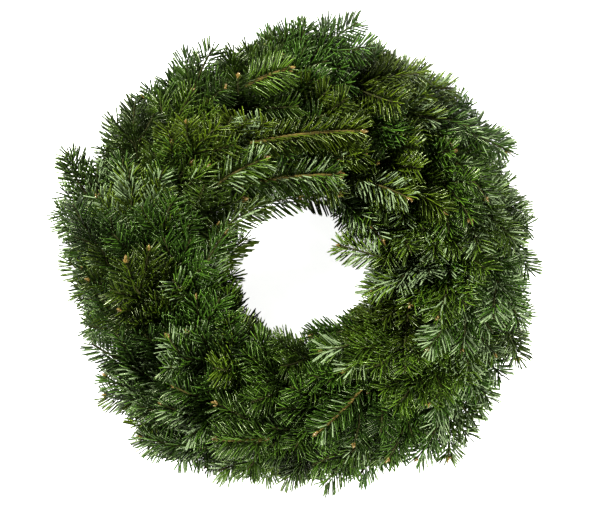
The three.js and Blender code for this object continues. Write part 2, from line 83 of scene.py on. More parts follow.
# %% The sprays, lane by lane
SPRAYS = {
    "crown": [
        (18, 26, 156, 96, 1, 0, 1, 0, 1, 0),
        (0, 61, 138, 88, 1, 0, 1, 0, 1, 0),
        (1, 77, 190, 94, 1, 24, 1, 0, 1, 12),
        (3, 113, 163, 90, 1, 0, 1, 0, 1, 0),
        (5, 146, 140, 96, 1, 0, 1, 0, 1, 0),
        (6, 173, 184, 90, 1, 0, 1, 24, 1, 0),
        (8, 206, 206, 94, 0.86, 36, 1, 0, 0.72, 24),
        (10, 240, 165, 88, 1, 0, 1, 0, 1, 0),
        (12, 270, 186, 96, 1, 12, 1, 0, 1, 0),
        (13, 297, 150, 90, 1, 0, 1, 0, 1, 0),
        (15, 330, 168, 96, 1, 0, 1, 0, 1, 0),
        (17, 357, 202, 90, 1, 0, 1, 36, 1, 0),
    ],
    "shoulder": [
        (18, 14, 270, 56, 1, 12, 1, 0, 0.86, -24),
        (19, 34, 246, 72, 1, 0, 0.86, -36, 1, 0),
        (0, 52, 238, 60, 1, -24, 1, 0, 0.72, -36),
        (2, 86, 238, 70, 1, 0, 0.72, 0, 1, 0),
        (3, 106, 250, 74, 1, -24, 1, 0, 0.72, -24),
        (6, 156, 238, 70, 1, 12, 0.72, 0, 1, 0),
        (7, 174, 248, 58, 1, 0, 1, 0, 0.72, -24),
        (10, 228, 240, 62, 1, 0, 0.86, -36, 1, 0),
        (11, 248, 244, 72, 1, -24, 1, 0, 0.72, -36),
        (13, 284, 254, 72, 1, 0, 0.86, -24, 1, 0),
        (15, 314, 250, 62, 1, 0, 1, 0, 0.72, -12),
        (16, 338, 250, 72, 1, 0, 0.86, -36, 1, 0),
    ],
    "outer": [
        (18, 2, 258, 28, 1, 0, 1, 0, 0.72, 0),
        (19, 22, 247, 18, 1, 0, 0.86, 24, 1, 0),
        (0, 42, 258, 32, 1, 0, 1, 36, 0.72, 0),
        (1, 61, 264, 24, 1, 0, 0.86, 0, 1, 0),
        (2, 79, 257, 18, 1, 0, 1, 12, 0.72, 0),
        (3, 93, 259, 34, 1, 0, 1, 36, 1, 0),
        (4, 112, 264, 24, 1, 0, 1, 0, 0.86, 36),
        (5, 131, 264, 18, 1, 12, 1, 36, 1, 0),
        (6, 143, 276, 34, 1, -12, 1, 0, 0.86, 0),
        (7, 165, 253, 22, 1, 0, 0.86, 0, 1, 0),
        (8, 184, 248, 18, 1, 0, 1, 0, 0.72, -12),
        (9, 201, 252, 30, 1, 0, 0.86, 0, 1, 0),
        (10, 219, 269, 20, 1, 0, 1, 0, 0.86, 24),
        (11, 235, 264, 34, 1, 0, 1, 36, 1, 0),
        (13, 270, 258, 22, 1, 0, 1, 0, 0.72, 0),
        (14, 293, 280, 32, 1, 0, 1, 0, 1, 0),
        (15, 308, 259, 20, 1, 0, 1, 0, 0.72, 0),
        (16, 332, 260, 30, 1, 0, 0.86, 0, 1, 0),
    ],
    "inner": [
        (17, 24, 104, 74, 1, 0, 1, 0, 1, 0),
        (19, 48, 86, 24, 1, 0, 1, 24, 0.86, -24),
        (0, 70, 62, 58, 1, 0, 1, -12, 1, 0),
        (1, 94, 92, 68, 1, 0, 1, 0, 1, -24),
        (3, 118, 84, 38, 1, 0, 1, -24, 1, 0),
        (4, 151, 106, 74, 1, 0, 1, 12, 1, 0),
        (5, 167, 100, 46, 1, 0, 1, -12, 1, 0),
        (7, 196, 88, 66, 1, 0, 1, 0, 1, -36),
        (9, 230, 104, 70, 1, 0, 1, 0, 1, 0),
        (10, 250, 82, 40, 1, 0, 1, 0, 1, -36),
        (11, 272, 90, 62, 1, 0, 1, -24, 1, 0),
        (12, 293, 62, 46, 1, 0, 1, 0, 1, -36),
        (14, 318, 90, 66, 1, 0, 1, -24, 1, 0),
        (15, 341, 112, 80, 1, 0, 1, -12, 1, 0),
        (16, 2, 82, 42, 1, 0, 1, -24, 1, 0),
    ],
}
# out and up place a lane in the ring's cross section; after is how far past its station it is tied; face
# turns the spray's flat side round the ring, from outwards (0) over upwards (90)
LANES = {
    "crown": {"out": -2.5, "up": 6.5, "after": 11.0, "face": 94},
    "shoulder": {"out": 2.5, "up": 6.5, "after": 7.0, "face": 66},
    "outer": {"out": 4.4, "up": 0.4, "after": 3.5, "face": 82},
    "inner": {"out": -4.4, "up": 0.4, "after": 14.5, "face": 112},
}
STATIONS = 20
STATION_STEP = 360 / STATIONS
print({lane: len(rows) for lane, rows in SPRAYS.items()})

# %% [markdown]
# ## Directions round the wreath
# The whole wreath turns one way: a clock angle runs clockwise from the top, as on a watch. Two directions
# at any clock angle, outwards and clockwise along the ring, are all that is needed to place a stem.

# %% Helpers for places and directions
UP = np.array([0, 0, 1.0])


def outwards(clock):
    turn = math.radians(clock)
    return np.array([math.sin(turn), math.cos(turn), 0.0])


def clockwise(clock):
    turn = math.radians(clock)
    return np.array([math.cos(turn), -math.sin(turn), 0.0])


def place_at(clock, out, up):
    return outwards(clock) * (RING_RADIUS + out) + UP * (RING_HEIGHT + up)


def unit(v):
    return v / np.linalg.norm(v)


def metres(points):
    return (np.asarray(points) + [RING_CENTRE.x, RING_CENTRE.y, 0.0]) * MM


print("the first station lies at", np.round(metres(place_at(0, 0, 0)), 4))

# %% [markdown]
# ## A twig's line
# A twig is a Bezier curve, cut into even steps. Each point also keeps the direction that its flat side
# faces, carried along the curve without twisting: fir grows in flat fans, and the needles part along that
# side.

# %% Even points along a curve, with the flat side carried along
TWIG_STEP, FEWEST_POINTS = 5.0, 4


def bezier(controls, samples=120):
    t = np.linspace(0, 1, samples)[:, None]
    points = [np.asarray(c, float)[None, :] * np.ones_like(t) for c in controls]
    while len(points) > 1:
        points = [a * (1 - t) + b * t for a, b in zip(points, points[1:])]
    return points[0]


def even_line(dense, step):
    run = np.concatenate([[0], np.cumsum(np.linalg.norm(np.diff(dense, axis=0), axis=1))])
    at = np.linspace(0, run[-1], max(FEWEST_POINTS, int(round(run[-1] / step)) + 1))
    return np.stack([np.interp(at, run, dense[:, axis]) for axis in range(3)], axis=1), run[-1]


def flat_sides(line, first):
    ways = np.gradient(line, axis=0)
    ways /= np.linalg.norm(ways, axis=1)[:, None]
    sides, side = [], np.asarray(first, float)
    for way in ways:
        side = unit(side - way * side.dot(way))
        sides.append(side)
    return ways, np.array(sides)


# %% [markdown]
# ## How a spray grows
# The stem follows the ring past its binding, then rises to its tip. Side shoots leave it on its flat side
# in pairs, as they do each year on a real fir branch. One of each pair is the CAD's own, with the same
# length and lift. The script adds its longer partner, one more pair near the butt, and two short pairs
# below, whose needles are painted dark as shade.

# %% The stem's curve and a side shoot's curve
BUTT_BACK = 6.0  # degrees from the binding back to the cut end
FAN, CLIMB = 0.4, 0.5  # degrees that a tip turns out per mm from the ring, and how steeply it still climbs
STEM_REACH = 0.3  # how far the curve's handles reach, as a share of the way from butt to tip
SHOOT_SPREAD = math.radians(43)
SHOOT_PARTS = (0.55, 0.45)  # of its length, before and after it bends
BENT_WAY = (0.7, 0.3)  # the bent part's mix of the shoot's own way and the stem's


def stem_line(lane, station, clock, radius, height):
    tied = LANES[lane]
    bound = station * STATION_STEP + tied["after"]
    butt = place_at(bound - BUTT_BACK, tied["out"], tied["up"])
    tip = outwards(clock) * radius + UP * height
    reach = np.linalg.norm(butt - tip)
    fan = math.radians(FAN * (radius - RING_RADIUS))
    heading = clockwise(clock) * math.cos(fan) + outwards(clock) * math.sin(fan)
    heading = unit(heading + UP * (CLIMB * height / reach))
    start = butt + clockwise(bound - BUTT_BACK / 2) * reach * STEM_REACH
    face = math.radians(tied["face"])
    flat_side = outwards(bound) * math.cos(face) + UP * math.sin(face)
    return bezier([butt, start, tip - heading * reach * STEM_REACH, tip]), flat_side


def shoot_line(point, way, flat_side, side, length, lift):
    sideways = unit(np.cross(way, flat_side) * side + flat_side * math.tan(math.radians(lift)))
    away = way * math.cos(SHOOT_SPREAD) + sideways * math.sin(SHOOT_SPREAD)
    middle = point + away * length * SHOOT_PARTS[0]
    tip = middle + unit(away * BENT_WAY[0] + way * BENT_WAY[1]) * length * SHOOT_PARTS[1]
    return bezier([point, middle, tip], samples=40)


# %% [markdown]
# A twig is kept as a small record: its even points, the way its flat side faces, its bark radius at both
# ends and a few numbers that needles and buds will read. An added shoot whose tip would stand out over the
# rim, into the hole or above the rest is cut back, or left out if it still does.

# %% Grow one spray into a list of twigs
LOWEST_TWIG, HIGHEST_SHOOT, HOLE_RADIUS = 3.0, 97.0, 88.0
# an added shoot stays within this distance of the ring's wire, or this far short of its stem's tip
LOOSE_BAND, RIM_MARGIN = 45.0, 3.0
STEM_RADII, SHOOT_RADII, UNDER_RADII = (1.9, 1.1), (1.2, 0.8), (0.9, 0.7)
STEM_BARE, SHOOT_BARE = 0.14, 0.05  # the share of a twig at its foot that carries no needles
PARTED = 0.4  # how far the needles part over a twig and lay it bare
# the under shoots' low tone paints their needles dark, as painted shade
STEM_TONES, TONE_DRIFT, UNDER_PAINTED_SHADE_TONE = (0.12, 0.72), (-0.12, 0.16), 0.16
CUT_BACK = (1, 0.8, 0.62, 0.45)  # shares of an added shoot's length, tried in turn
# where on the stem, to which side and how long, as shares of the stem
CAD_FORKS = [(0.42, 1, 0.33), (0.56, -1, 0.31), (0.71, 1, 0.23)]
PARTNER_LENGTHS, PARTNER_LIFTS, PARTNER_STEP = (1.1, 1.4), (-6, 16), 0.02
BUTT_PAIR, BUTT_LIFTS = (0.25, 0.5), (-4, 20)
UNDER_PAIRS = [(0.2, 0.28, -16), (0.42, 0.3, -32)]  # the last number is the lift, in degrees
PAIR_LENGTHS = (0.85, 1.1)


def make_twig(dense, flat_side, radii, tone, silver, parted, bare, bud, step=TWIG_STEP):
    line, length = even_line(dense, step)
    line[:, 2] = np.maximum(line[:, 2], LOWEST_TWIG)
    ways, sides = flat_sides(line, flat_side)
    return {
        "line": line, "ways": ways, "sides": sides, "length": length, "radii": radii,
        "tone": tone, "silver": silver, "parted": parted, "bare": bare, "bud": bud,
    }


def strays(tip, stem_tip):
    distance, limit = math.hypot(*tip[:2]), math.hypot(*stem_tip[:2])
    past_rim = distance > max(RING_RADIUS + LOOSE_BAND, limit - RIM_MARGIN)
    return past_rim or distance < HOLE_RADIUS or tip[2] > HIGHEST_SHOOT


def grow_spray(name, lane, row, order, look, full=True):
    rng = random.Random(name)
    dense, flat_side = stem_line(lane, *row[:4])
    tone = rng.uniform(*STEM_TONES)
    tone, silver = look or (tone, 0.0)
    stem = make_twig(dense, flat_side, STEM_RADII, tone, silver, PARTED, STEM_BARE, rng.random())
    twigs = [stem]

    def add_shoot(share, side, length, lift, radii=SHOOT_RADII, from_cad=False):
        at = int(round(share * (len(stem["line"]) - 1)))
        foot = stem["line"][at], stem["ways"][at], stem["sides"][at]
        for shorter in CUT_BACK:
            dense = shoot_line(*foot, side, length * shorter, lift)
            if from_cad or not strays(dense[-1], stem["line"][-1]):
                break
        else:
            return None
        tone = min(1, max(0, stem["tone"] + rng.uniform(*TONE_DRIFT)))
        twigs.append(make_twig(dense, foot[2], radii, tone, silver, PARTED, SHOOT_BARE, rng.random()))
        return twigs[-1]

    flip = 1 if order % 2 else -1
    for i, (share, side, part) in enumerate(CAD_FORKS):
        shorter, lift = row[4 + 2 * i], row[5 + 2 * i]
        add_shoot(share, side * flip, stem["length"] * part * shorter, lift, from_cad=True)
        partner = stem["length"] * part * rng.uniform(*PARTNER_LENGTHS)
        add_shoot(share + PARTNER_STEP, -side * flip, partner, rng.uniform(*PARTNER_LIFTS))
    share, part = BUTT_PAIR
    for side in (1, -1):
        extra = stem["length"] * part * rng.uniform(*PAIR_LENGTHS)
        add_shoot(share, side, extra, rng.uniform(*BUTT_LIFTS))
    for share, part, lift in UNDER_PAIRS if full else ():
        for side in (1, -1):
            extra = stem["length"] * part * rng.uniform(*PAIR_LENGTHS)
            low = add_shoot(share, side, extra, lift, UNDER_RADII)
            if low:
                # painted shade: the under shoots get a deep tone
                low["tone"], low["bud"] = UNDER_PAINTED_SHADE_TONE, 1.0
    return twigs


# %% Grow all the sprays of the CAD model
# The looks that some sprays of a lane have of their own, as tone and silver. Tone runs from deep (0) to fresh
# green (1), and silver is the share of needles that show their undersides.
LOOKS = {
    "crown": {5: (0.75, 0.0), 8: (0.6, 0.35)},
    "shoulder": {4: (0.65, 0.3), 5: (0.65, 0.3)},
    "outer": {
        2: (0.65, 0.2), 3: (0.75, 0.4), 4: (0.8, 0.55), 5: (0.85, 0.65), 6: (0.85, 0.65), 7: (0.8, 0.6),
        8: (0.75, 0.45), 9: (0.75, 0.4), 10: (0.75, 0.35), 11: (0.8, 0.4), 12: (0.75, 0.4), 13: (0.75, 0.35),
        14: (0.8, 0.35), 15: (0.9, 0.5), 16: (0.75, 0.45), 17: (0.45, 0.15), 18: (0.35, 0.0),
    },
    "inner": {5: (0.6, 0.95), 6: (0.3, 0.0), 9: (0.95, 0.0), 11: (0.85, 0.3), 15: (0.75, 0.2)},
}
sprays, known = {}, {}
for lane, rows in SPRAYS.items():
    for number, row in enumerate(rows, start=1):
        name = f"{lane}_spray_{number:02d}"
        known[name] = (lane, row, len(sprays), LOOKS[lane].get(number))
        sprays[name] = grow_spray(name, *known[name])
print("first twigs:", sum(len(t) for t in sprays.values()))

# %% [markdown]
# ## A map of heights
# To see where the greenery is thin, the script looks at it from above, as the camera does. A grid of small
# squares keeps the highest needle over each one. Every twig raises the squares that its needles reach.

# %% The highest needles over every small square
SQUARE, HALF_WIDTH = 3.0, 290.0
COVER, NEEDLE_RISE = 13.0, 4.0  # how far a twig's needles reach sideways and upwards
ACROSS = int(2 * HALF_WIDTH / SQUARE)
REACH = int(COVER / SQUARE)
disc_y, disc_x = np.mgrid[-REACH:REACH + 1, -REACH:REACH + 1]
DISC = disc_x ** 2 + disc_y ** 2 <= REACH ** 2


def square_of(x, y):
    return int((HALF_WIDTH - y) / SQUARE), int((x + HALF_WIDTH) / SQUARE)


def raise_map(heights, twigs):
    for x, y, z in np.concatenate([t["line"] for t in twigs]):
        row, column = square_of(x, y)
        near = heights[row - REACH:row + REACH + 1, column - REACH:column + REACH + 1]
        np.maximum(near, np.where(DISC, z + NEEDLE_RISE, 0), out=near)


def mean_round(values, reach):
    total = np.pad(values, reach, mode="edge").cumsum(0).cumsum(1)
    total = np.pad(total, ((1, 0), (1, 0)))
    wide = 2 * reach + 1
    far = total[wide:, wide:] - total[:-wide, wide:] - total[wide:, :-wide]
    return (far + total[:-wide, :-wide]) / wide ** 2


heights = np.zeros((ACROSS, ACROSS))
for twigs in sprays.values():
    raise_map(heights, twigs)
print("squares with greenery:", int((heights > 0).sum()), "highest:", round(heights.max(), 1))

# %% [markdown]
# ## Second sprigs in the hollows
# A florist who sees a hollow ties one more sprig in with the spray behind it. The script does the same,
# again and again: it finds the deepest hollow, tries a sprig from each station a little way behind, and
# keeps the one that fills most. A place that no sprig fills well is left as it is.

# %% Fill the deepest hollow, again and again
# how high the greenery should stand at each distance from the wreath's axis
FULL_PROFILE = [(80, 54), (100, 68), (120, 82), (190, 82), (215, 70), (235, 52), (250, 32)]
HOLLOWS_FROM, HOLLOWS_TO, DEEPEST = 92, 235, 40
LOOK_ROUND, LEFT_ALONE = 5, 20  # squares that a hollow is averaged over, and mm round one that stays as it is
OUTER_FROM, INNER_TO = 195, 150  # distances of the hollows that the outer and the inner lane can fill
SECOND_SPRIGS, TRIES, SPRIGS_PER_SPRAY = 40, 70, 2
LEAST_FILL = 300.0
BEHIND, PAST_HOLLOW = (24, 56), 6  # degrees from a station to a hollow, and from the hollow to the tip
TIP_SINK = 4
LEVEL_SHOOTS = (1, 0, 1, 0, 1, 0)
row_at, column_at = np.mgrid[0:ACROSS, 0:ACROSS]
east, north = column_at * SQUARE - HALF_WIDTH, HALF_WIDTH - row_at * SQUARE
distance_at = np.hypot(east, north)
wanted = np.interp(distance_at, *zip(*FULL_PROFILE))
wanted[(distance_at < HOLLOWS_FROM) | (distance_at > HOLLOWS_TO)] = 0
added = dict.fromkeys(sprays, 0)


def hollowness(heights):
    return np.clip(wanted - heights, 0, DEEPEST)


def can_fill(name, clock, distance):
    lane, row, *_ = known[name]
    behind = (clock - row[0] * STATION_STEP - LANES[lane]["after"]) % 360
    fits = {"outer": distance >= OUTER_FROM, "inner": distance <= INNER_TO}.get(lane, True)
    return fits and BEHIND[0] <= behind <= BEHIND[1] and added[name] < SPRIGS_PER_SPRAY


def second_sprig(name, clock, distance, height):
    lane, row, order, look = known[name]
    row = (row[0], clock, distance, height, *LEVEL_SHOOTS)
    return grow_spray(f"{name}_{clock}", lane, row, order, look, full=False)


for _ in range(TRIES):
    if sum(added.values()) == SECOND_SPRIGS:
        break
    hollow = mean_round(hollowness(heights), LOOK_ROUND)
    deepest = np.unravel_index(hollow.argmax(), hollow.shape)
    clock = math.degrees(math.atan2(east[deepest], north[deepest])) % 360
    distance = distance_at[deepest]
    height = np.interp(distance, *zip(*FULL_PROFILE)) - TIP_SINK
    tip = round(clock + PAST_HOLLOW) % 360, round(distance), round(height)
    best = (LEAST_FILL, None, None)
    for name in [name for name in sprays if can_fill(name, clock, distance)]:
        sprig, filled = second_sprig(name, *tip), heights.copy()
        raise_map(filled, sprig)
        gain = hollowness(heights).sum() - hollowness(filled).sum()
        best = max(best, (gain, name, sprig), key=lambda found: found[0])
    if best[1] is None:
        wanted[np.hypot(east - east[deepest], north - north[deepest]) < LEFT_ALONE] = 0
        continue
    sprays[best[1]] += best[2]
    added[best[1]] += 1
    raise_map(heights, best[2])
print("second sprigs:", sum(added.values()), "hollowness left:", round(hollowness(heights).sum()))

# %% [markdown]
# ## Sprigs on top
# Some one-year sprigs lie on top of the rest and show their whole length, a few with the needles parted
# over a bare brown twig. Others stand out past the rim or over the hole. Each is told by where its base and
# tip are seen from above. The map gives their heights: the base is tucked into the greenery and the tip
# lies on it.

# %% Lay single sprigs on top
# base and tip in mm from the ring's centre, then tone, silver and how far the needles part over the twig
TOP_SPRIGS = [
    ((-69, 81), (45, 93), 0.55, 0.3, 0.56),
    ((-53, 127), (69, 139), 0.5, 0.0, 0.54),
    ((60, 90), (118, 67), 0.5, 0.6, 0.5),
    ((171, 106), (204, 67), 0.5, 0.2, 0.5),
    ((127, 74), (158, 52), 0.5, 0.0, 0.3),
    ((39, 110), (73, 117), 0.5, 0.1, 0.3),
    ((-58, 189), (-9, 207), 0.65, 0.0, 0.55),
    ((-119, 83), (-99, 102), 0.5, 0.1, 0.3),
    ((-89, 83), (-35, 111), 0.5, 0.3, 0.5),
    ((116, -17), (79, -34), 1.0, 0.3, 0.2),
    ((53, -92), (24, -99), 0.5, 0.5, 0.3),
    ((75, -101), (48, -121), 0.4, 0.1, 0.4),
    ((69, -140), (19, -187), 0.5, 0.1, 0.58),
    ((161, -30), (149, -62), 0.45, 0.1, 0.3),
    ((159, -68), (138, -96), 0.5, 0.4, 0.3),
    ((-31, -195), (-90, -193), 0.55, 0.0, 0.56),
    ((-119, -169), (-151, -157), 0.45, 0.1, 0.3),
    ((-108, -149), (-136, -136), 0.35, 0.0, 0.5),
    ((-86, 33), (-40, 62), 0.5, 0.35, 0.3),
    ((-69, 52), (1, 70), 0.4, 0.2, 0.2),
    ((31, 77), (78, 37), 0.55, 0.35, 0.4),
    ((92, 2), (44, 16), 0.6, 0.4, 0.4),
    ((56, 62), (92, 20), 0.65, 0.3, 0.5),
    ((-100, -2), (-80, 30), 0.4, 0.0, 0.2),
    ((2, 92), (44, 72), 0.35, 0.2, 0.4),
    ((-232, 84), (-258, 118), 0.35, 0.1, 0.3),
    ((226, -70), (243, -110), 0.35, 0.1, 0.3),
    ((-100, -211), (-176, -196), 0.35, 0.1, 0.3),
    ((176, 144), (230, 121), 0.35, 0.1, 0.3),
    ((158, -172), (130, -221), 0.6, 0.4, 0.3),
    ((-168, -152), (-214, -128), 0.5, 0.3, 0.3),
    ((-12, 78), (42, 66), 0.45, 0.3, 0.4),
    ((50, -78), (14, -84), 0.4, 0.2, 0.3),
]
BASE_TUCK, TIP_RISE, HIGHEST_TIP = 6.0, 6.0, 97.0
LEAST_CLIMB = -6.0  # how far a tip over the open hole may hang below its base
SPRIG_ARCH = (0.03, 0.03)  # outwards and upwards, as shares of the sprig's length
SPRIG_TILT = 0.15  # how far a sprig's flat side leans outwards
SHOWN_TWIG = 0.5  # above this parting a twig is as thick as a stem
KNOBBLY_STEP = 1.8  # mm between the points of a twig whose bark shows


def height_at(x, y):
    row, column = square_of(x, y)
    return float(heights[row - 1:row + 2, column - 1:column + 2].mean())


def top_sprig(base, tip, tone, silver, parted):
    base = np.array([*base, height_at(*base) - BASE_TUCK])
    tip = np.array([*tip, np.clip(height_at(*tip) + TIP_RISE, base[2] + LEAST_CLIMB, HIGHEST_TIP)])
    length = np.linalg.norm(tip - base)
    out = unit(np.array([base[0] + tip[0], base[1] + tip[1], 0.0]))
    middle = (base + tip) / 2 + 2 * length * (out * SPRIG_ARCH[0] + UP * SPRIG_ARCH[1])
    radii = STEM_RADII if parted > SHOWN_TWIG else SHOOT_RADII
    line = bezier([base, middle, tip], samples=60)
    return make_twig(line, unit(out * SPRIG_TILT + UP), radii, tone, silver, parted, 0.0, 0.0, KNOBBLY_STEP)


def nearest_spray(point):
    def gap(name):
        return min(np.linalg.norm(t["line"] - point, axis=1).min() for t in sprays[name])
    return min(sprays, key=gap)


for how in TOP_SPRIGS:
    sprig = top_sprig(*how)
    sprays[nearest_spray(sprig["line"][0])].append(sprig)
twig_metres = sum(t["length"] for twigs in sprays.values() for t in twigs) * MM
print("twigs:", sum(len(t) for t in sprays.values()), "with", round(twig_metres, 1), "m of needled shoot")

# %% [markdown]
# ## Twigs as a mesh of lines
# Geometry Nodes can read any attribute of a mesh, and a mesh of bare edges turns into curves with one node.
# So each spray's twigs become one such mesh, with the bark radius, flat side and the rest kept on its
# points.

# %% Turn a spray's twigs into a mesh of lines


def place_object(name, data):
    made = bpy.data.objects.new(name, data)
    bpy.context.scene.collection.objects.link(made)
    return made


def lines_object(name, points, edges):
    mesh = bpy.data.meshes.new(name)
    mesh.from_pydata(metres(points).tolist(), edges, [])
    return place_object(name, mesh)


def keep_on(mesh, key, values, domain="POINT"):
    values = np.asarray(values, np.float32)
    kind, field = ("FLOAT", "value") if values.ndim == 1 else ("FLOAT_VECTOR", "vector")
    mesh.attributes.new(key, kind, domain).data.foreach_set(field, values.ravel())


def twig_lines(name, twigs):
    edges, first = [], 0
    for t in twigs:
        last = first + len(t["line"]) - 1
        edges += [(i, i + 1) for i in range(first, last)]
        first = last + 1
    maker = lines_object(name, np.concatenate([t["line"] for t in twigs]), edges)
    along = [np.linspace(0, 1, len(t["line"])) for t in twigs]
    radii = [np.interp(a, [0, 1], t["radii"]) for a, t in zip(along, twigs)]
    to_tip = [t["length"] * (1 - a) for a, t in zip(along, twigs)]
    keep_on(maker.data, "share", np.concatenate(along))
    keep_on(maker.data, "bark_radius", np.concatenate(radii) * MM)
    keep_on(maker.data, "to_tip", np.concatenate(to_tip) * MM)
    for key in ("tone", "silver", "parted", "bare", "bud"):
        keep_on(maker.data, key, np.concatenate([np.full(len(t["line"]), t[key]) for t in twigs]))
    keep_on(maker.data, "flat_side", np.concatenate([t["sides"] for t in twigs]))
    keep_on(maker.data, "warmth", np.full(first, random.Random(f"{name} warmth").random()))
    return maker


# %% [markdown]
# ## Building node trees in a few words
# A node tree is easier to read when each node is one line that says what feeds it. These helpers add a
# node, set its options, and link a socket or set a number, for geometry and for shaders alike. A colour is
# written as three numbers, and its fourth is always 1. Random numbers share a tree's seed, and each has a
# draw of its own, so that no two of them go together.

# %% Node helpers


def feed(tree, socket, value):
    if isinstance(value, bpy.types.NodeSocket):
        tree.links.new(value, socket)
    else:
        socket.default_value = (*value, 1) if socket.type == "RGBA" else value


def add_node(tree, kind, inputs=None, **options):
    made = tree.nodes.new(kind)
    for key, value in options.items():
        setattr(made, key, value)
    for key, value in (inputs or {}).items():
        feed(tree, made.inputs[key], value)
    return made


def geometry(tree, kind, inputs=None, **options):
    return add_node(tree, f"GeometryNode{kind}", inputs, **options).outputs[0]


def sums(tree, operation, *values, clamp=False):
    made = add_node(tree, "ShaderNodeMath", operation=operation, use_clamp=clamp)
    for socket, value in zip(made.inputs, values):
        feed(tree, socket, value)
    return made.outputs[0]


def plus(tree, a, b):
    return sums(tree, "ADD", a, b)


def times(tree, a, b):
    return sums(tree, "MULTIPLY", a, b)


def arrows(tree, operation, *values):
    made = add_node(tree, "ShaderNodeVectorMath", operation=operation)
    for socket, value in zip(made.inputs, values):
        feed(tree, socket, value)
    return made.outputs["Vector"]


def scaled(tree, vector, amount):
    inputs = {"Vector": vector, "Scale": amount}
    return add_node(tree, "ShaderNodeVectorMath", inputs, operation="SCALE").outputs["Vector"]


def turned_from(tree, start, end, angle):
    ahead = scaled(tree, start, sums(tree, "COSINE", angle))
    return arrows(tree, "ADD", ahead, scaled(tree, end, sums(tree, "SINE", angle)))


def ramped(tree, value, low, high, start, end, smooth=True):
    inputs = {"Value": value, "From Min": low, "From Max": high, "To Min": start, "To Max": end}
    kind = "SMOOTHSTEP" if smooth else "LINEAR"
    return add_node(tree, "ShaderNodeMapRange", inputs, interpolation_type=kind).outputs["Result"]


def new_group(name, kind, inputs, outputs):
    tree = bpy.data.node_groups.new(name, f"{kind}NodeTree")
    for in_out, sockets in (("INPUT", inputs), ("OUTPUT", outputs)):
        for label, socket in sockets.items():
            tree.interface.new_socket(label, in_out=in_out, socket_type=f"NodeSocket{socket}")
    return tree, tree.nodes.new("NodeGroupInput").outputs, tree.nodes.new("NodeGroupOutput").inputs


# %% Helpers for geometry trees alone


def stored(tree, name, kind="FLOAT"):
    return geometry(tree, "InputNamedAttribute", {"Name": name}, data_type=kind)


def chance(tree, low, high, seed, draw):
    made = add_node(tree, "FunctionNodeRandomValue", {"Seed": plus(tree, seed, draw)}, data_type="FLOAT")
    limits = {"Min": low, "Max": high}
    for socket in made.inputs:
        if socket.type == "VALUE" and socket.name in limits:
            socket.default_value = limits[socket.name]
    return next(s for s in made.outputs if s.type == "VALUE")


def axes_turn(tree, x, z):
    inputs, axes = {"Primary Axis": x, "Secondary Axis": z}, {"primary_axis": "X", "secondary_axis": "Z"}
    return add_node(tree, "FunctionNodeAxesToRotation", inputs, **axes).outputs[0]


def planted(tree, points, chosen, library, turn, size, pick=None):
    patterns = geometry(tree, "CollectionInfo", {"Collection": library, "Separate Children": True})
    inputs = {"Points": points, "Selection": chosen, "Instance": patterns, "Pick Instance": True}
    return geometry(tree, "InstanceOnPoints", {**inputs, "Rotation": turn, "Scale": size, **(pick or {})})


def swept(tree, curve, sides, radius, scale=1.0):
    circle = geometry(tree, "CurvePrimitiveCircle", {"Resolution": sides, "Radius": radius})
    inputs = {"Curve": curve, "Profile Curve": circle, "Fill Caps": True, "Scale": scale}
    return geometry(tree, "CurveToMesh", inputs)


def coated(tree, shape, finish):
    return geometry(tree, "SetMaterial", {"Geometry": shape, "Material": finish})


def pattern_library(name, meshes):
    library = bpy.data.collections.new(name)
    bpy.context.scene.collection.children.link(library)
    for mesh in meshes:
        library.objects.link(bpy.data.objects.new(mesh.name, mesh))
    print(name, "faces:", [len(mesh.polygons) for mesh in meshes])
    return library


# %% [markdown]
# ## One needle
# A fir needle is a narrow flat strap, here about 25 mm long and just under 2 mm wide, with a fine groove
# along its glossy top and two pale bands under it. It bows a little towards the tip of its shoot. One
# needle for each side is drawn with few faces, because it is repeated about ninety thousand times.
# It is one unit long and wide, lies along X and faces up, so that its sizes can be set where it grows.

# %% The needle, bent to either side
NEEDLE_RINGS = [(0.3, 0.95), (0.9, 0.9)]  # share of the length, share of the width
NEEDLE_SECTION = [(-0.5, 0.0), (0.0, -0.2), (0.5, 0.0), (0.0, 0.2)]  # across and up, as shares of the width
NEEDLE_BOW = 1.5  # how far the tip swings aside, as a share of the width


def needle_mesh(name, swing):
    verts, across = [(0, 0, 0)], [0.0]
    for x, width in NEEDLE_RINGS:
        for y, z in NEEDLE_SECTION:
            verts.append((x, y * width + swing * NEEDLE_BOW * x * x, z * width))
            across.append(abs(y) * 2)
    verts.append((1, swing * NEEDLE_BOW, 0.0))
    across.append(0.0)
    sides, last = len(NEEDLE_SECTION), len(verts) - 1
    faces = [(0, 1 + (i + 1) % sides, 1 + i) for i in range(sides)]
    for first in range(1, last - sides, sides):
        for i in range(sides):
            a, b = first + i, first + (i + 1) % sides
            faces += [(a, b, b + sides), (a, b + sides, a + sides)]
    faces += [(last - sides + i, last - sides + (i + 1) % sides, last) for i in range(sides)]
    mesh = bpy.data.meshes.new(name)
    mesh.from_pydata(verts, [], faces)
    mesh.shade_smooth()
    keep_on(mesh, "along", [x for x, _, _ in verts])
    keep_on(mesh, "across", across)
    keep_on(mesh, "underside", [float(face.normal.z < 0) for face in mesh.polygons], "FACE")
    return mesh


both_needles = [needle_mesh("needle_a_right", -1), needle_mesh("needle_b_left", 1)]
fir_needles = pattern_library("fir_needles", both_needles)
NEEDLE_FACES = len(fir_needles.objects[0].data.polygons)

# %% [markdown]
# ## Needles round a twig
# On a fir shoot the needles stand in a spiral, each turned 137.5 degrees from the last, and comb themselves
# into ranks. Those on the underside bend round to the sides, those on top lean forwards, and all of them
# close up round the bud at the tip. That is a rule, so Geometry Nodes can apply it to every twig at once:
# points along the curve, one needle on each, turned by two axes.

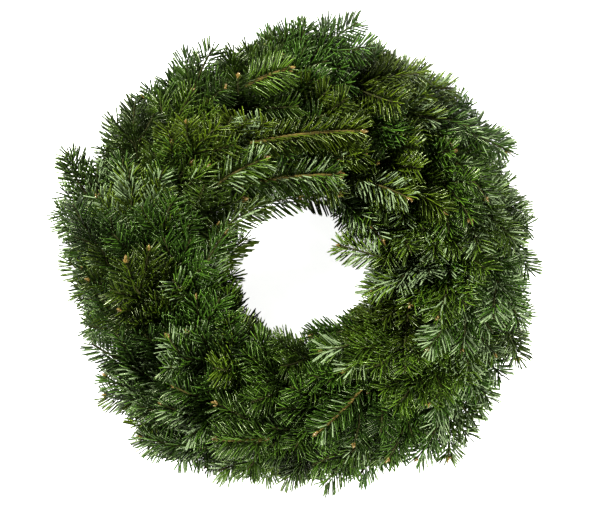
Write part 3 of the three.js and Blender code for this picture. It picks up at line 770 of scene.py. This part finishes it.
# %% How needles stand, and how they differ
GOLDEN_TURN, RANK_STEP, RANK_WANDER = math.radians(137.508), math.radians(34), 0.08  # radians
FAR_SIDE = math.radians(100)  # how far round the twig the needles start to bend back
UNDER_SPREAD = 0.3  # how much of the circle's lower part the needles keep
OPEN_SPREAD, OPEN_FROM = 0.34, math.radians(58)  # where needles stand that part over a bare twig
ROLL = 0.45  # how far a needle tips over to one side, at most
BARE_TIP, CLOSING, SHORT_TIP, OLD_AND_SHADED_WOOD = 0.003, 0.022, 0.018, 0.085  # metres from a twig's tip
SHORT_BUTT = 0.12  # the share of a twig, at its foot, where needles are shorter
BUTT_LENGTH, TIP_LENGTH = 0.72, 0.7  # how long the needles are at both ends, as shares of the full length
NEEDLE_LENGTHS, NEEDLE_WIDTHS = (0.88, 1.08), (0.86, 1.1)  # how they differ from one to the next
FOOT_DEPTH = 0.7  # of the bark's radius
# painted light and shade: the youth share also darkens needles lying deeper, and the top share paints needles
# on a twig's top side lighter
LUCK_SHARE, YOUTH_AND_DEPTH_SHADE_SHARE, PAINTED_TOP_LIGHT_SHARE = 0.4, 0.22, 0.42  # what makes a needle light
TURN_OVER = 0.01  # a step small enough that hardly a needle stands on edge
NEEDLE_INPUTS = {
    "Twigs": "Geometry", "Spacing": "Float", "Needle length": "Float", "Needle width": "Float",
    "Side lean": "Float", "Top lean": "Float", "Comb lean": "Float", "Tip closing": "Float",
    "Raggedness": "Float", "Table height": "Float", "Seed": "Int", "Needles": "Collection",
    "Finish": "Material",
}

# %% The tree that clothes twigs with needles


def needle_tree():
    tree, put, result = new_group("needles_round_twigs", "Geometry", NEEDLE_INPUTS, {"Pieces": "Geometry"})
    seed, parting = put["Seed"], stored(tree, "parted")
    share, to_tip = stored(tree, "share"), stored(tree, "to_tip")
    curve = geometry(tree, "MeshToCurve", {"Mesh": put["Twigs"]})
    spread = {"Curve": curve, "Length": put["Spacing"]}
    points = add_node(tree, "GeometryNodeCurveToPoints", spread, mode="LENGTH").outputs
    kept = {"Geometry": points["Points"], "Name": "way", "Value": points["Tangent"]}
    spots = geometry(tree, "StoreNamedAttribute", kept, data_type="FLOAT_VECTOR")
    way = arrows(tree, "NORMALIZE", stored(tree, "way", "FLOAT_VECTOR"))
    flat = arrows(tree, "NORMALIZE", stored(tree, "flat_side", "FLOAT_VECTOR"))
    side = arrows(tree, "CROSS_PRODUCT", way, flat)

    # where a needle stands round its twig: in ranks, bent back from below, laid open where the twig shows
    spiral = sums(tree, "WRAP", times(tree, geometry(tree, "InputIndex"), GOLDEN_TURN), math.pi, -math.pi)
    spiral = sums(tree, "SNAP", plus(tree, spiral, RANK_STEP / 2), RANK_STEP)
    spiral = plus(tree, spiral, chance(tree, -RANK_WANDER, RANK_WANDER, seed, 1))
    turn = sums(tree, "ABSOLUTE", spiral)
    past = sums(tree, "MAXIMUM", sums(tree, "SUBTRACT", turn, FAR_SIDE), 0.0)
    turn = sums(tree, "SUBTRACT", turn, times(tree, past, 1 - UNDER_SPREAD))
    laid_open = plus(tree, times(tree, turn, OPEN_SPREAD), OPEN_FROM)
    turn = plus(tree, turn, times(tree, parting, sums(tree, "SUBTRACT", laid_open, turn)))
    signed = times(tree, turn, sums(tree, "SIGN", spiral))
    out = turned_from(tree, flat, side, signed)

    # how far it leans out, and which side it turns up
    lean = ramped(tree, turn, 0.0, FAR_SIDE, put["Top lean"], put["Side lean"], smooth=False)
    closing = times(tree, ramped(tree, to_tip, 0.0, CLOSING, 1.0, 0.0), put["Tip closing"])
    lean = times(tree, lean, sums(tree, "SUBTRACT", 1.0, closing))
    lean = plus(tree, lean, times(tree, chance(tree, -1.0, 1.0, seed, 2), put["Raggedness"]))
    lean = sums(tree, "MULTIPLY_ADD", parting, put["Comb lean"], lean)
    roll = scaled(tree, side, times(tree, chance(tree, -1.0, 1.0, seed, 3), ROLL))
    turned_over = sums(tree, "SUBTRACT", stored(tree, "silver"), chance(tree, 0.0, 1.0, seed, 4))
    face_up = ramped(tree, turned_over, 0.0, TURN_OVER, 1.0, -1.0)
    upper = arrows(tree, "ADD", scaled(tree, flat, face_up), roll)
    bows_left = sums(tree, "GREATER_THAN", times(tree, signed, face_up), 0.0)

    # its size, and how light its green is: by chance, and with painted light and shade from its place on the
    # twig
    near_butt = ramped(tree, share, 0.0, SHORT_BUTT, BUTT_LENGTH, 1.0)
    near_tip = ramped(tree, to_tip, 0.0, SHORT_TIP, TIP_LENGTH, 1.0)
    length = times(tree, put["Needle length"], times(tree, near_butt, near_tip))
    length = times(tree, length, chance(tree, *NEEDLE_LENGTHS, seed, 5))
    width = times(tree, put["Needle width"], chance(tree, *NEEDLE_WIDTHS, seed, 6))
    size = add_node(tree, "ShaderNodeCombineXYZ", {"X": length, "Y": width, "Z": width}).outputs[0]
    # needles near a tip are paler: young growth, and painted shade on the older needles that lie deeper
    young_and_unshaded = ramped(tree, to_tip, 0.0, OLD_AND_SHADED_WOOD, 1.0, 0.0)
    # painted light: needles on the twig's top side are lighter, and those below it are darker as painted
    # shade
    painted_top_light = sums(tree, "MULTIPLY_ADD", sums(tree, "COSINE", signed), 0.5, 0.5)
    light = times(tree, chance(tree, 0.0, 1.0, seed, 7), LUCK_SHARE)
    light = plus(tree, light, times(tree, young_and_unshaded, YOUTH_AND_DEPTH_SHADE_SHARE))
    light = plus(tree, light, times(tree, painted_top_light, PAINTED_TOP_LIGHT_SHARE))
    spots = geometry(tree, "StoreNamedAttribute", {"Geometry": spots, "Name": "needle_shade", "Value": light})

    # one needle on each spot that carries one, seated in the bark and lifted off the table
    clothed = sums(tree, "GREATER_THAN", share, stored(tree, "bare"))
    clothed = times(tree, clothed, sums(tree, "GREATER_THAN", to_tip, BARE_TIP))
    turned = axes_turn(tree, turned_from(tree, way, out, lean), upper)
    needles = planted(tree, spots, clothed, put["Needles"], turned, size, {"Instance Index": bows_left})
    foot = scaled(tree, out, times(tree, stored(tree, "bark_radius"), FOOT_DEPTH))
    seat = {"Instances": needles, "Translation": foot, "Local Space": False}
    real = geometry(tree, "RealizeInstances", {"Geometry": geometry(tree, "TranslateInstances", seat)})
    here = add_node(tree, "ShaderNodeSeparateXYZ", {"Vector": geometry(tree, "InputPosition")}).outputs
    rests = sums(tree, "MAXIMUM", here["Z"], put["Table height"])
    place = add_node(tree, "ShaderNodeCombineXYZ", {"X": here["X"], "Y": here["Y"], "Z": rests}).outputs[0]
    laid = geometry(tree, "SetPosition", {"Geometry": real, "Position": place})
    feed(tree, result["Pieces"], coated(tree, laid, put["Finish"]))
    return tree


needles_round_twigs = needle_tree()
print("nodes in the needle tree:", len(needles_round_twigs.nodes))

# %% [markdown]
# ## Buds
# A fir shoot ends in a fat bud with two to four smaller ones round it. They are short pointed eggs of
# overlapping brown scales, shiny with resin. Three clusters are turned on a small lathe in code, and one of
# them is picked at each shoot's end.

# %% Three clusters of buds
BUD_PROFILE = [(0.0, 0.0), (0.08, 0.36), (0.35, 0.5), (0.68, 0.36), (0.9, 0.13), (1.0, 0.0)]
BUD_SIDES = 7
AROUND = (2, 3, 4)  # how many small buds stand round the big one
BIG_BUD, SMALL_LENGTHS, SMALL_WIDTH = (5.4, 3.5), (3.6, 4.6), 2.6  # in millimetres, before the bud size
BIG_BACK, SMALL_BACK, SMALL_OUT = 0.8, 1.8, 0.7  # mm from the shoot's end
SMALL_AHEAD, SMALL_ASIDE, UNEVEN = 0.85, (0.55, 0.8), 0.1
ASKEW = [0.3, 0.5, 0.8]  # a way that no bud points
BUD_SEED = 40


def egg(verts, faces, base, aim, length, width):
    aim = unit(np.asarray(aim, float))
    side = unit(np.cross(aim, ASKEW))
    other = np.cross(aim, side)
    first, bands = len(verts), len(BUD_PROFILE) - 3
    verts.append(tuple(base))
    for share, wide in BUD_PROFILE[1:-1]:
        for i in range(BUD_SIDES):
            turn = 2 * math.pi * i / BUD_SIDES
            out = (side * math.cos(turn) + other * math.sin(turn)) * wide * width
            verts.append(tuple(base + aim * share * length + out))
    verts.append(tuple(base + aim * length))

    def ring(k, i):
        return first + 1 + k * BUD_SIDES + i % BUD_SIDES

    for i in range(BUD_SIDES):
        faces.append((first, ring(0, i + 1), ring(0, i)))
        faces += [(ring(k, i), ring(k, i + 1), ring(k + 1, i + 1), ring(k + 1, i)) for k in range(bands)]
        faces.append((ring(bands, i), ring(bands, i + 1), len(verts) - 1))


def bud_mesh(number, around):
    rng = random.Random(BUD_SEED + number)
    verts, faces = [], []
    egg(verts, faces, np.array([-BIG_BACK, 0, 0]) * MM, (1, 0, 0), BIG_BUD[0] * MM, BIG_BUD[1] * MM)
    for i in range(around):
        turn = 2 * math.pi * (i + rng.uniform(-UNEVEN, UNEVEN)) / around
        out = np.array([0, math.cos(turn), math.sin(turn)])
        aim = np.array([SMALL_AHEAD, 0, 0]) + out * rng.uniform(*SMALL_ASIDE)
        base = (out * SMALL_OUT + [-SMALL_BACK, 0, 0]) * MM
        egg(verts, faces, base, aim, rng.uniform(*SMALL_LENGTHS) * MM, SMALL_WIDTH * MM)
    mesh = bpy.data.meshes.new(f"bud_cluster_{number + 1}")
    mesh.from_pydata(verts, [], faces)
    return mesh


bud_clusters = pattern_library("bud_clusters", [bud_mesh(*how) for how in enumerate(AROUND)])

# %% [markdown]
# ## Bark and buds
# The bark is a tube swept along each twig, with its radius read from the twig. The same tree sets the buds
# at the ends, so that bark and buds of a spray come out as one piece with two finishes.

# %% The tree that makes bark and buds
KNUCKLES, BUD_SIZES = (0.78, 1.22), (0.75, 1.15)  # how the bark's radius and the buds differ
THIN_WOOD, THICK_WOOD, THIN_BUD = 0.0007, 0.0013, 0.7  # bark radii in metres, and a bud's size on thin wood
WOOD_INPUTS = {
    "Twigs": "Geometry", "Tube sides": "Int", "Bud size": "Float", "Share with buds": "Float", "Seed": "Int",
    "Buds": "Collection", "Bark": "Material", "Bud skin": "Material",
}


def wood_tree():
    tree, put, result = new_group("bark_and_buds", "Geometry", WOOD_INPUTS, {"Pieces": "Geometry"})
    curve, radius = geometry(tree, "MeshToCurve", {"Mesh": put["Twigs"]}), stored(tree, "bark_radius")
    knobbly = times(tree, radius, chance(tree, *KNUCKLES, put["Seed"], 1))
    bark = coated(tree, swept(tree, curve, put["Tube sides"], 1.0, knobbly), put["Bark"])
    ends = geometry(tree, "CurveEndpointSelection", {"Start Size": 0, "End Size": 1})
    chosen = times(tree, ends, sums(tree, "LESS_THAN", stored(tree, "bud"), put["Share with buds"]))
    turned = axes_turn(tree, geometry(tree, "InputTangent"), stored(tree, "flat_side", "FLOAT_VECTOR"))
    size = times(tree, put["Bud size"], chance(tree, *BUD_SIZES, put["Seed"], 2))
    size = times(tree, size, ramped(tree, radius, THIN_WOOD, THICK_WOOD, THIN_BUD, 1.0, smooth=False))
    buds = planted(tree, curve, chosen, put["Buds"], turned, size)
    skin = coated(tree, geometry(tree, "RealizeInstances", {"Geometry": buds}), put["Bud skin"])
    both = tree.nodes.new("GeometryNodeJoinGeometry")
    for part in (bark, skin):
        tree.links.new(part, both.inputs[0])
    feed(tree, result["Pieces"], geometry(tree, "SetShadeSmooth", {"Geometry": both.outputs[0]}))
    return tree


bark_and_buds = wood_tree()
print("nodes in the bark tree:", len(bark_and_buds.nodes))

# %% [markdown]
# ## Finishes: what they share
# Nothing that grew is one flat colour. One shader group mixes a deep and a fresh colour by a tone and
# breaks it up with soft mottling. A second gives fine grain for bumps, and pits. Both put out only colours
# and values, and the shaders stay in the materials.

# %% Two shader groups
CLOUD_DETAIL, GRAIN_DETAIL = 3.0, 4.0
PITS_FROM, PITS_TO = 0.28, 0.46


def object_place(tree):
    return tree.nodes.new("ShaderNodeTexCoord").outputs["Object"]


def mixed(tree, share, a, b, blend="MIX"):
    made = add_node(tree, "ShaderNodeMix", {0: share}, data_type="RGBA", blend_type=blend)
    feed(tree, made.inputs[6], a)  # this node keeps its colours in sockets 6 and 7, and gives one in socket 2
    feed(tree, made.inputs[7], b)
    return made.outputs[2]


def mottled_tone_group():
    inputs = {"Deep": "Color", "Fresh": "Color", "Tone": "Float", "Mottling": "Float", "Scale": "Float"}
    tree, put, result = new_group("mottled_tone", "Shader", inputs, {"Colour": "Color", "Shade": "Float"})
    place = {"Vector": object_place(tree), "Scale": put["Scale"], "Detail": CLOUD_DETAIL}
    cloud = add_node(tree, "ShaderNodeTexNoise", place).outputs[0]
    swing = times(tree, sums(tree, "SUBTRACT", cloud, 0.5), put["Mottling"])
    shade = sums(tree, "ADD", put["Tone"], times(tree, swing, 2.0), clamp=True)
    feed(tree, result["Colour"], mixed(tree, shade, put["Deep"], put["Fresh"]))
    feed(tree, result["Shade"], shade)
    return tree


def fine_grain_group():
    inputs = {"Scale": "Float", "Coarseness": "Float"}
    tree, put, result = new_group("fine_grain", "Shader", inputs, {"Height": "Float", "Pits": "Float"})
    grain = {"Scale": put["Scale"], "Detail": GRAIN_DETAIL, "Roughness": put["Coarseness"]}
    noise = add_node(tree, "ShaderNodeTexNoise", {"Vector": object_place(tree), **grain}).outputs[0]
    feed(tree, result["Height"], noise)
    feed(tree, result["Pits"], ramped(tree, noise, PITS_FROM, PITS_TO, 1.0, 0.0))
    return tree


MOTTLED, GRAIN = mottled_tone_group(), fine_grain_group()
print("shader groups:", MOTTLED.name, GRAIN.name)

# %% Helpers for finishes


def use_group(tree, group, inputs):
    return add_node(tree, "ShaderNodeGroup", inputs, node_tree=group).outputs


def mottled(tree, deep, fresh, mottling, scale, tone=0.5):
    inputs = {"Deep": deep, "Fresh": fresh, "Tone": tone, "Mottling": mottling, "Scale": scale}
    return use_group(tree, MOTTLED, inputs)


def grained(tree, scale, coarseness):
    return use_group(tree, GRAIN, {"Scale": scale, "Coarseness": coarseness})


def new_finish(name, base, **plain):
    material = bpy.data.materials.new(name)
    material.use_nodes = True
    tree = material.node_tree
    shader = tree.nodes["Principled BSDF"].inputs
    for key, value in {"Base_Color": base, **plain}.items():
        feed(tree, shader[key.replace("_", " ")], value)
    material.diffuse_color = (*base, 1)
    return material, tree, shader


def attribute(tree, name):
    return add_node(tree, "ShaderNodeAttribute", attribute_name=name).outputs["Fac"]


def bumped(tree, shader, height, strength, distance):
    inputs = {"Height": height, "Strength": strength, "Distance": distance}
    feed(tree, shader["Normal"], add_node(tree, "ShaderNodeBump", inputs).outputs[0])


# %% [markdown]
# ## The needles' finish
# A needle is dark green and waxy on top, with a yellowish foot. It is paler near a shoot's tip, where it
# is young, and darker further back: partly its age, partly painted shade for needles lying deeper in the
# greenery. Needles on a twig's top side are painted lighter and those below it darker, as painted light
# and shade. A needle's flanks are painted darker than its groove: painted shade and a painted highlight
# on a rounded needle. Its underside is a dull light green with two silvery bands. The needle's own
# attributes say where on it a point lies, so the bands follow every needle. Each lane has its own pair of
# greens, the crown's the brightest and the outer's the darkest, as painted shade on the low outer lane. A
# tint that is cooler or warmer from spray to spray keeps neighbours apart.

# %% The needles' greens
# the outer lane's greens are the darkest: painted shade on its low sprays
GREENS = {
    "crown": ((0.0022, 0.009, 0.0004), (0.16, 0.285, 0.018)),
    "shoulder": ((0.002, 0.008, 0.0004), (0.15, 0.27, 0.018)),
    "outer": ((0.0018, 0.007, 0.0006), (0.135, 0.25, 0.024)),
    "inner": ((0.002, 0.008, 0.0004), (0.15, 0.27, 0.018)),
}
FOOT, GLOSS_TINT = (0.17, 0.15, 0.04), (0.92, 1.0, 0.62)
COOL, WARM = (0.78, 0.98, 1.5), (1.25, 1.0, 0.6)  # tints of the coolest and the warmest spray
UNDER_GREEN, UNDER_SILVER = (0.065, 0.115, 0.025), (0.27, 0.345, 0.19)
TWIG_PART, NEEDLE_PART, DARKER = 0.55, 0.85, -0.2  # how a needle's tone is made up
TONE_CURVE = 2.0  # a power that keeps most needles deep
# painted shade and highlight: the green darkens from the groove to the edge, as light falls on a rounded
# needle
TOP_EDGE, EDGE_SHADE_DEPTH, EDGE_SHADE_GREEN = (0.15, 0.85), 0.95, 0.5  # from the groove to the edge the green darkens
BAND_START, BAND_END = (0.08, 0.2), (0.72, 0.86)  # shares of the half width under the needle
FOOT_SHARE = 0.14  # of the needle's length
WAXY, DULL, LIGHTER_DULL = 0.25, 0.25, 0.08  # roughness on top, and more of it below and where it is light

# %% Make the needles' finish for each lane


def needle_finish(lane):
    deep, fresh = GREENS[lane]
    middle = tuple((a + b) / 2 for a, b in zip(deep, fresh))
    gloss = {"Roughness": 0.3, "Specular_IOR_Level": 0.65, "Specular_Tint": GLOSS_TINT}
    material, tree, shader = new_finish(f"needles_{lane}", middle, **gloss)
    light, width = attribute(tree, "needle_shade"), attribute(tree, "across")
    tone = sums(tree, "MULTIPLY_ADD", attribute(tree, "tone"), TWIG_PART, DARKER)
    tone = sums(tree, "MULTIPLY_ADD", light, NEEDLE_PART, tone)
    tone = sums(tree, "POWER", sums(tree, "MAXIMUM", tone, 0.0), TONE_CURVE)
    upper = mottled(tree, deep, fresh, mottling=0.16, scale=45.0, tone=tone)["Colour"]
    # painted shade on the needle's flanks, leaving a painted highlight along its groove
    edge = times(tree, ramped(tree, width, *TOP_EDGE, 0.0, 1.0), EDGE_SHADE_DEPTH)
    upper = mixed(tree, edge, upper, [EDGE_SHADE_GREEN * c for c in deep])
    upper = mixed(tree, 1.0, upper, mixed(tree, attribute(tree, "warmth"), COOL, WARM), "MULTIPLY")
    foot = ramped(tree, attribute(tree, "along"), 0.0, FOOT_SHARE, 1.0, 0.0)
    upper = mixed(tree, foot, upper, FOOT)
    band = times(tree, ramped(tree, width, *BAND_START, 0.0, 1.0), ramped(tree, width, *BAND_END, 1.0, 0.0))
    lower = mixed(tree, band, UNDER_GREEN, UNDER_SILVER)
    under = attribute(tree, "underside")
    feed(tree, shader["Base Color"], mixed(tree, under, upper, lower))
    rough = plus(tree, WAXY, times(tree, under, DULL))
    feed(tree, shader["Roughness"], plus(tree, rough, times(tree, light, LIGHTER_DULL)))
    return material


NEEDLES = {lane: needle_finish(lane) for lane in LANES}
print("needle finishes:", [m.name for m in NEEDLES.values()])

# %% [markdown]
# ## Bark, buds and wires
# Young fir bark is ochre brown and finely cracked. Where needles hide it, it is painted a dark olive as
# painted shade. Buds are paler, with a little resin shine. The ring is galvanised wire with a cloudy zinc
# skin, and the binding wire has a dark green lacquer that is worn through here and there.

# %% Make the finishes of wood and wire
# bark that the needles hide is painted dark olive as shade; the ochre shows where they part
BARK_PAINTED_SHADE = ((0.02, 0.022, 0.005), (0.065, 0.066, 0.014))
BARK_SHOWN = ((0.05, 0.038, 0.009), (0.24, 0.18, 0.038))
CRACKS, CRACK_DEPTH = (0.03, 0.026, 0.007), 0.6
SHOWN_FROM, SHOWN_TO = 0.42, 0.62  # how far the needles part where the bark turns ochre
BARE_METAL = (0.4, 0.41, 0.4)
ZINC_ROUGHNESS, LACQUER_ROUGHNESS = (0.5, 0.3), (0.34, 0.5)  # clouds deep to bright, whole to worn


def bark_finish():
    dull = {"Roughness": 0.85, "Specular_IOR_Level": 0.25}
    material, tree, shader = new_finish("young_bark", (0.1, 0.085, 0.02), **dull)
    shown = ramped(tree, attribute(tree, "parted"), SHOWN_FROM, SHOWN_TO, 0.0, 1.0)
    deep, fresh = [mixed(tree, shown, *pair) for pair in zip(BARK_PAINTED_SHADE, BARK_SHOWN)]
    tone = mottled(tree, deep, fresh, mottling=0.8, scale=260.0)
    grain = grained(tree, scale=1400.0, coarseness=0.65)
    cracked = mixed(tree, times(tree, grain["Pits"], CRACK_DEPTH), tone["Colour"], CRACKS)
    feed(tree, shader["Base Color"], cracked)
    bumped(tree, shader, grain["Height"], strength=0.6, distance=0.0003)
    return material


def bud_finish():
    material, tree, shader = new_finish("resin_buds", (0.21, 0.141, 0.035), Roughness=0.4, Coat_Weight=0.2)
    tone = mottled(tree, (0.1, 0.062, 0.014), (0.32, 0.22, 0.055), mottling=0.9, scale=420.0)
    scales = add_node(tree, "ShaderNodeTexVoronoi", {"Vector": object_place(tree), "Scale": 900.0})
    feed(tree, shader["Base Color"], tone["Colour"])
    bumped(tree, shader, scales.outputs["Distance"], strength=0.7, distance=0.0003)
    return material


def ring_finish():
    material, tree, shader = new_finish("galvanised_wire", (0.42, 0.44, 0.45), Metallic=1.0, Roughness=0.42)
    tone = mottled(tree, (0.27, 0.29, 0.3), (0.56, 0.58, 0.59), mottling=0.8, scale=350.0)
    feed(tree, shader["Base Color"], tone["Colour"])
    feed(tree, shader["Roughness"], ramped(tree, tone["Shade"], 0.0, 1.0, *ZINC_ROUGHNESS))
    grain = grained(tree, scale=700.0, coarseness=0.5)
    bumped(tree, shader, grain["Height"], strength=0.25, distance=0.0002)
    return material


def binding_finish():
    material, tree, shader = new_finish("green_lacquered_wire", (0.03, 0.09, 0.04), Roughness=0.35)
    tone = mottled(tree, (0.02, 0.07, 0.03), (0.05, 0.13, 0.06), mottling=0.5, scale=300.0)
    worn = grained(tree, scale=500.0, coarseness=0.7)["Pits"]
    feed(tree, shader["Base Color"], mixed(tree, worn, tone["Colour"], BARE_METAL))
    feed(tree, shader["Metallic"], worn)
    feed(tree, shader["Roughness"], ramped(tree, worn, 0.0, 1.0, *LACQUER_ROUGHNESS))
    return material


BARK, BUD_SKIN, ZINC, LACQUER = bark_finish(), bud_finish(), ring_finish(), binding_finish()
print("other finishes:", [m.name for m in (BARK, BUD_SKIN, ZINC, LACQUER)])

# %% [markdown]
# ## Settling a spray
# A tree's inputs are set on the modifier by each socket's identifier, before the object is first evaluated.
# The result is copied out as a plain mesh, in metres and with its place in its points. The mesh of lines
# goes away once the last tree has used it.

# %% Run a tree on a mesh of lines and keep the plain mesh


def settle(maker, tree, values, name):
    modifier = maker.modifiers.new(tree.name, "NODES")
    modifier.node_group = tree
    for item in tree.interface.items_tree:
        if item.in_out == "INPUT" and item.name in values:
            modifier[item.identifier] = values[item.name]
    bpy.context.view_layer.update()
    mesh = bpy.data.meshes.new_from_object(maker.evaluated_get(bpy.context.evaluated_depsgraph_get()))
    maker.modifiers.remove(modifier)
    mesh.name = name
    return place_object(name, mesh)


# %% [markdown]
# ## Clothing all the sprays
# Each spray gives two pieces: its needles and its wood. Both stand for the spray's CAD node, which stays
# hidden as the shape that other tools let touch things.

# %% Make the pieces of every spray
NEEDLE_SETTINGS = {
    "Spacing": 0.72 * MM, "Needle length": 25 * MM, "Needle width": 1.85 * MM, "Side lean": math.radians(56),
    "Top lean": math.radians(22), "Comb lean": math.radians(24), "Tip closing": 0.25,
    "Raggedness": math.radians(4), "Table height": 0.4 * MM, "Needles": fir_needles,
}
WOOD_SETTINGS = {
    "Tube sides": 6, "Bud size": 1.4, "Share with buds": 0.12, "Buds": bud_clusters, "Bark": BARK,
    "Bud skin": BUD_SKIN,
}
NEEDLE_SEEDS, WOOD_SEEDS = 100, 300  # the first spray's seeds
needle_count = 0
for number, (name, twigs) in enumerate(sprays.items()):
    lane = name.split("_")[0]
    maker = twig_lines(f"{name}_lines", twigs)
    settings = {**NEEDLE_SETTINGS, "Seed": NEEDLE_SEEDS + number, "Finish": NEEDLES[lane]}
    needles = settle(maker, needles_round_twigs, settings, f"{name}_needles")
    settings = {**WOOD_SETTINGS, "Seed": WOOD_SEEDS + number}
    wood = settle(maker, bark_and_buds, settings, f"{name}_wood")
    bpy.data.objects.remove(maker)
    for piece in (needles, wood):
        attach(piece, "root")
        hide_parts(name)
    needle_count += len(needles.data.polygons) // NEEDLE_FACES
print("needles:", needle_count, "triangles of needles:", needle_count * NEEDLE_FACES)

# %% Put the patterns away
for library in (fir_needles, bud_clusters):
    for pattern in list(library.objects):
        bpy.data.objects.remove(pattern)
    bpy.data.collections.remove(library)

# %% [markdown]
# ## The wires
# The ring is one thick wire, crimped into even waves so that nothing slides along it. A thin binding wire
# goes over the stems and under the ring once at every station. The solids give both wires few sides. Here
# they follow the same lines as smooth round ones: bare edges become curves, and one small tree sweeps a
# circle along them.

# %% The tree that sweeps a wire
WIRE_INPUTS = {"Line": "Geometry", "Radius": "Float", "Sides": "Int", "Steps": "Int", "Finish": "Material"}


def wire_tree():
    tree, put, result = new_group("swept_wire", "Geometry", WIRE_INPUTS, {"Pieces": "Geometry"})
    curve = geometry(tree, "MeshToCurve", {"Mesh": put["Line"]})
    curve = geometry(tree, "CurveSplineType", {"Curve": curve}, spline_type="CATMULL_ROM")
    curve = geometry(tree, "SetSplineResolution", {"Geometry": curve, "Resolution": put["Steps"]})
    tube = swept(tree, curve, put["Sides"], put["Radius"])
    smooth = geometry(tree, "SetShadeSmooth", {"Geometry": tube})
    real = geometry(tree, "RealizeInstances", {"Geometry": smooth})
    feed(tree, result["Pieces"], coated(tree, real, put["Finish"]))
    return tree


swept_wire = wire_tree()
print("nodes in the wire tree:", len(swept_wire.nodes))

# %% The lines of both wires
RING_WIRE, BINDING_WIRE = 1.64, 0.6  # radii
CRIMP, CRIMP_POINTS = 2.0, 8
STEM_BUTT, SEAT_GAP = 2.0, 0.35
BINDING_ROOM = 1.15  # how many of its own radii the binding's line keeps off a stem, past the gap
# where the binding passes each lane's stem: degrees after the station, and the angle round the stem
BINDING_CORNERS = [
    ("outer", 1.5, -80), ("outer", 3.5, 6), ("shoulder", 5.6, 18), ("shoulder", 7.6, 70),
    ("crown", 10.4, 110), ("crown", 12.4, 162), ("inner", 14.5, 174), ("inner", 16.5, 260),
]


def ring_points():
    shares = np.arange(STATIONS * CRIMP_POINTS) / CRIMP_POINTS
    return [place_at(s * STATION_STEP, 0, CRIMP * math.cos(2 * math.pi * s)) for s in shares]


def crossing(lane, station, clock):
    row = next((row for row in SPRAYS[lane] if row[0] == station), None)
    if row is None:
        return LANES[lane]["out"], LANES[lane]["up"]
    stem, _ = stem_line(lane, *row[:4])
    ahead = stem @ clockwise(clock)
    first = int((ahead > 0).argmax())
    share = -ahead[first - 1] / (ahead[first] - ahead[first - 1])
    point = stem[first - 1] + (stem[first] - stem[first - 1]) * share
    return point @ outwards(clock) - RING_RADIUS, point[2] - RING_HEIGHT


def binding_points():
    off, points = STEM_BUTT + SEAT_GAP + BINDING_WIRE * BINDING_ROOM, []
    for station in range(STATIONS):
        for lane, after, angle in BINDING_CORNERS:
            clock, turn = station * STATION_STEP + after, math.radians(angle)
            out, up = crossing(lane, station, clock)
            points.append(place_at(clock, out + off * math.cos(turn), up + off * math.sin(turn)))
    return points


# %% Sweep both wires
CURVE_STEPS = 4
WIRES = {
    "wire_ring": (ring_points(), True, RING_WIRE, 12, ZINC, "galvanised_wire"),
    "binding_wire": (binding_points(), False, BINDING_WIRE, 8, LACQUER, "green_wire"),
}
for node_name, (points, closed, radius, sides, finish, slot) in WIRES.items():
    edges = [(i, i + 1) for i in range(len(points) - 1)] + ([(len(points) - 1, 0)] if closed else [])
    maker = lines_object(f"{node_name}_line", points, edges)
    settings = {"Radius": radius * MM, "Sides": sides, "Steps": CURVE_STEPS, "Finish": finish}
    wire = settle(maker, swept_wire, settings, f"{node_name}_round")
    bpy.data.objects.remove(maker)
    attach(wire, "root")
    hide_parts(node_name)
    print(node_name, "faces:", len(wire.data.polygons))

# %% [markdown]
# ## Table, light and camera
# The wreath lies on a white table. Two soft lights stand opposite each other, at its upper left and lower
# right, low enough to leave shade between the needles, in a nearly dark room: a light from straight above
# would flatten the foliage. The camera looks straight down, with the picture's top at +Y.

# %% The table, which shows the camera a little more light than it gives off
TABLE_GLOW = 0.95
bpy.ops.mesh.primitive_plane_add(size=6.0, location=(0, 0, 0))
table = bpy.context.object
table.name = "white_table"
white, tree, shader = new_finish("table_white", (0.9, 0.9, 0.9), Roughness=0.9, Emission_Color=(1, 1, 1))
seen = times(tree, tree.nodes.new("ShaderNodeLightPath").outputs["Is Camera Ray"], TABLE_GLOW)
feed(tree, shader["Emission Strength"], seen)
table.data.materials.append(white)

# %% Lights
LIGHT_SIZE, ROOM_LIGHT = 0.4, 0.03
LIGHTS = {"key_light": ((-1.4, 1.3, 1.1), 143), "low_light": ((1.5, -1.2, 1.1), 109)}  # in metres and watts
for name, (place, power) in LIGHTS.items():
    lamp = bpy.data.lights.new(name, "AREA")
    lamp.shape, lamp.size, lamp.energy = "DISK", LIGHT_SIZE, power
    light = place_object(name, lamp)
    light.location = place
    light.rotation_euler = (-Vector(place)).to_track_quat("-Z", "Y").to_euler()
world = bpy.data.worlds.new("pale_room")
bpy.context.scene.world = world
world.use_nodes = True
background = world.node_tree.nodes["Background"].inputs
background["Color"].default_value = (1, 1, 1, 1)
background["Strength"].default_value = ROOM_LIGHT
print("lights:", list(LIGHTS))

# %% Show light as it is, so that the white table stays white
GAMMA = 0.86
bpy.context.scene.view_settings.view_transform = "Standard"
bpy.context.scene.view_settings.gamma = GAMMA

# %% Camera
PICTURE_WIDTH, PICTURE_PLANE = 0.660, 0.06
PICTURE_CENTRE = (0.0102, -0.0035)
LENS, SENSOR = 100, 36
camera_data = bpy.data.cameras.new("camera")
camera_data.lens, camera_data.sensor_width = LENS, SENSOR
camera = place_object("camera", camera_data)
camera.location = (*PICTURE_CENTRE, PICTURE_PLANE + PICTURE_WIDTH * LENS / SENSOR)
bpy.context.scene.camera = camera
print("camera at", [round(c, 3) for c in camera.location])
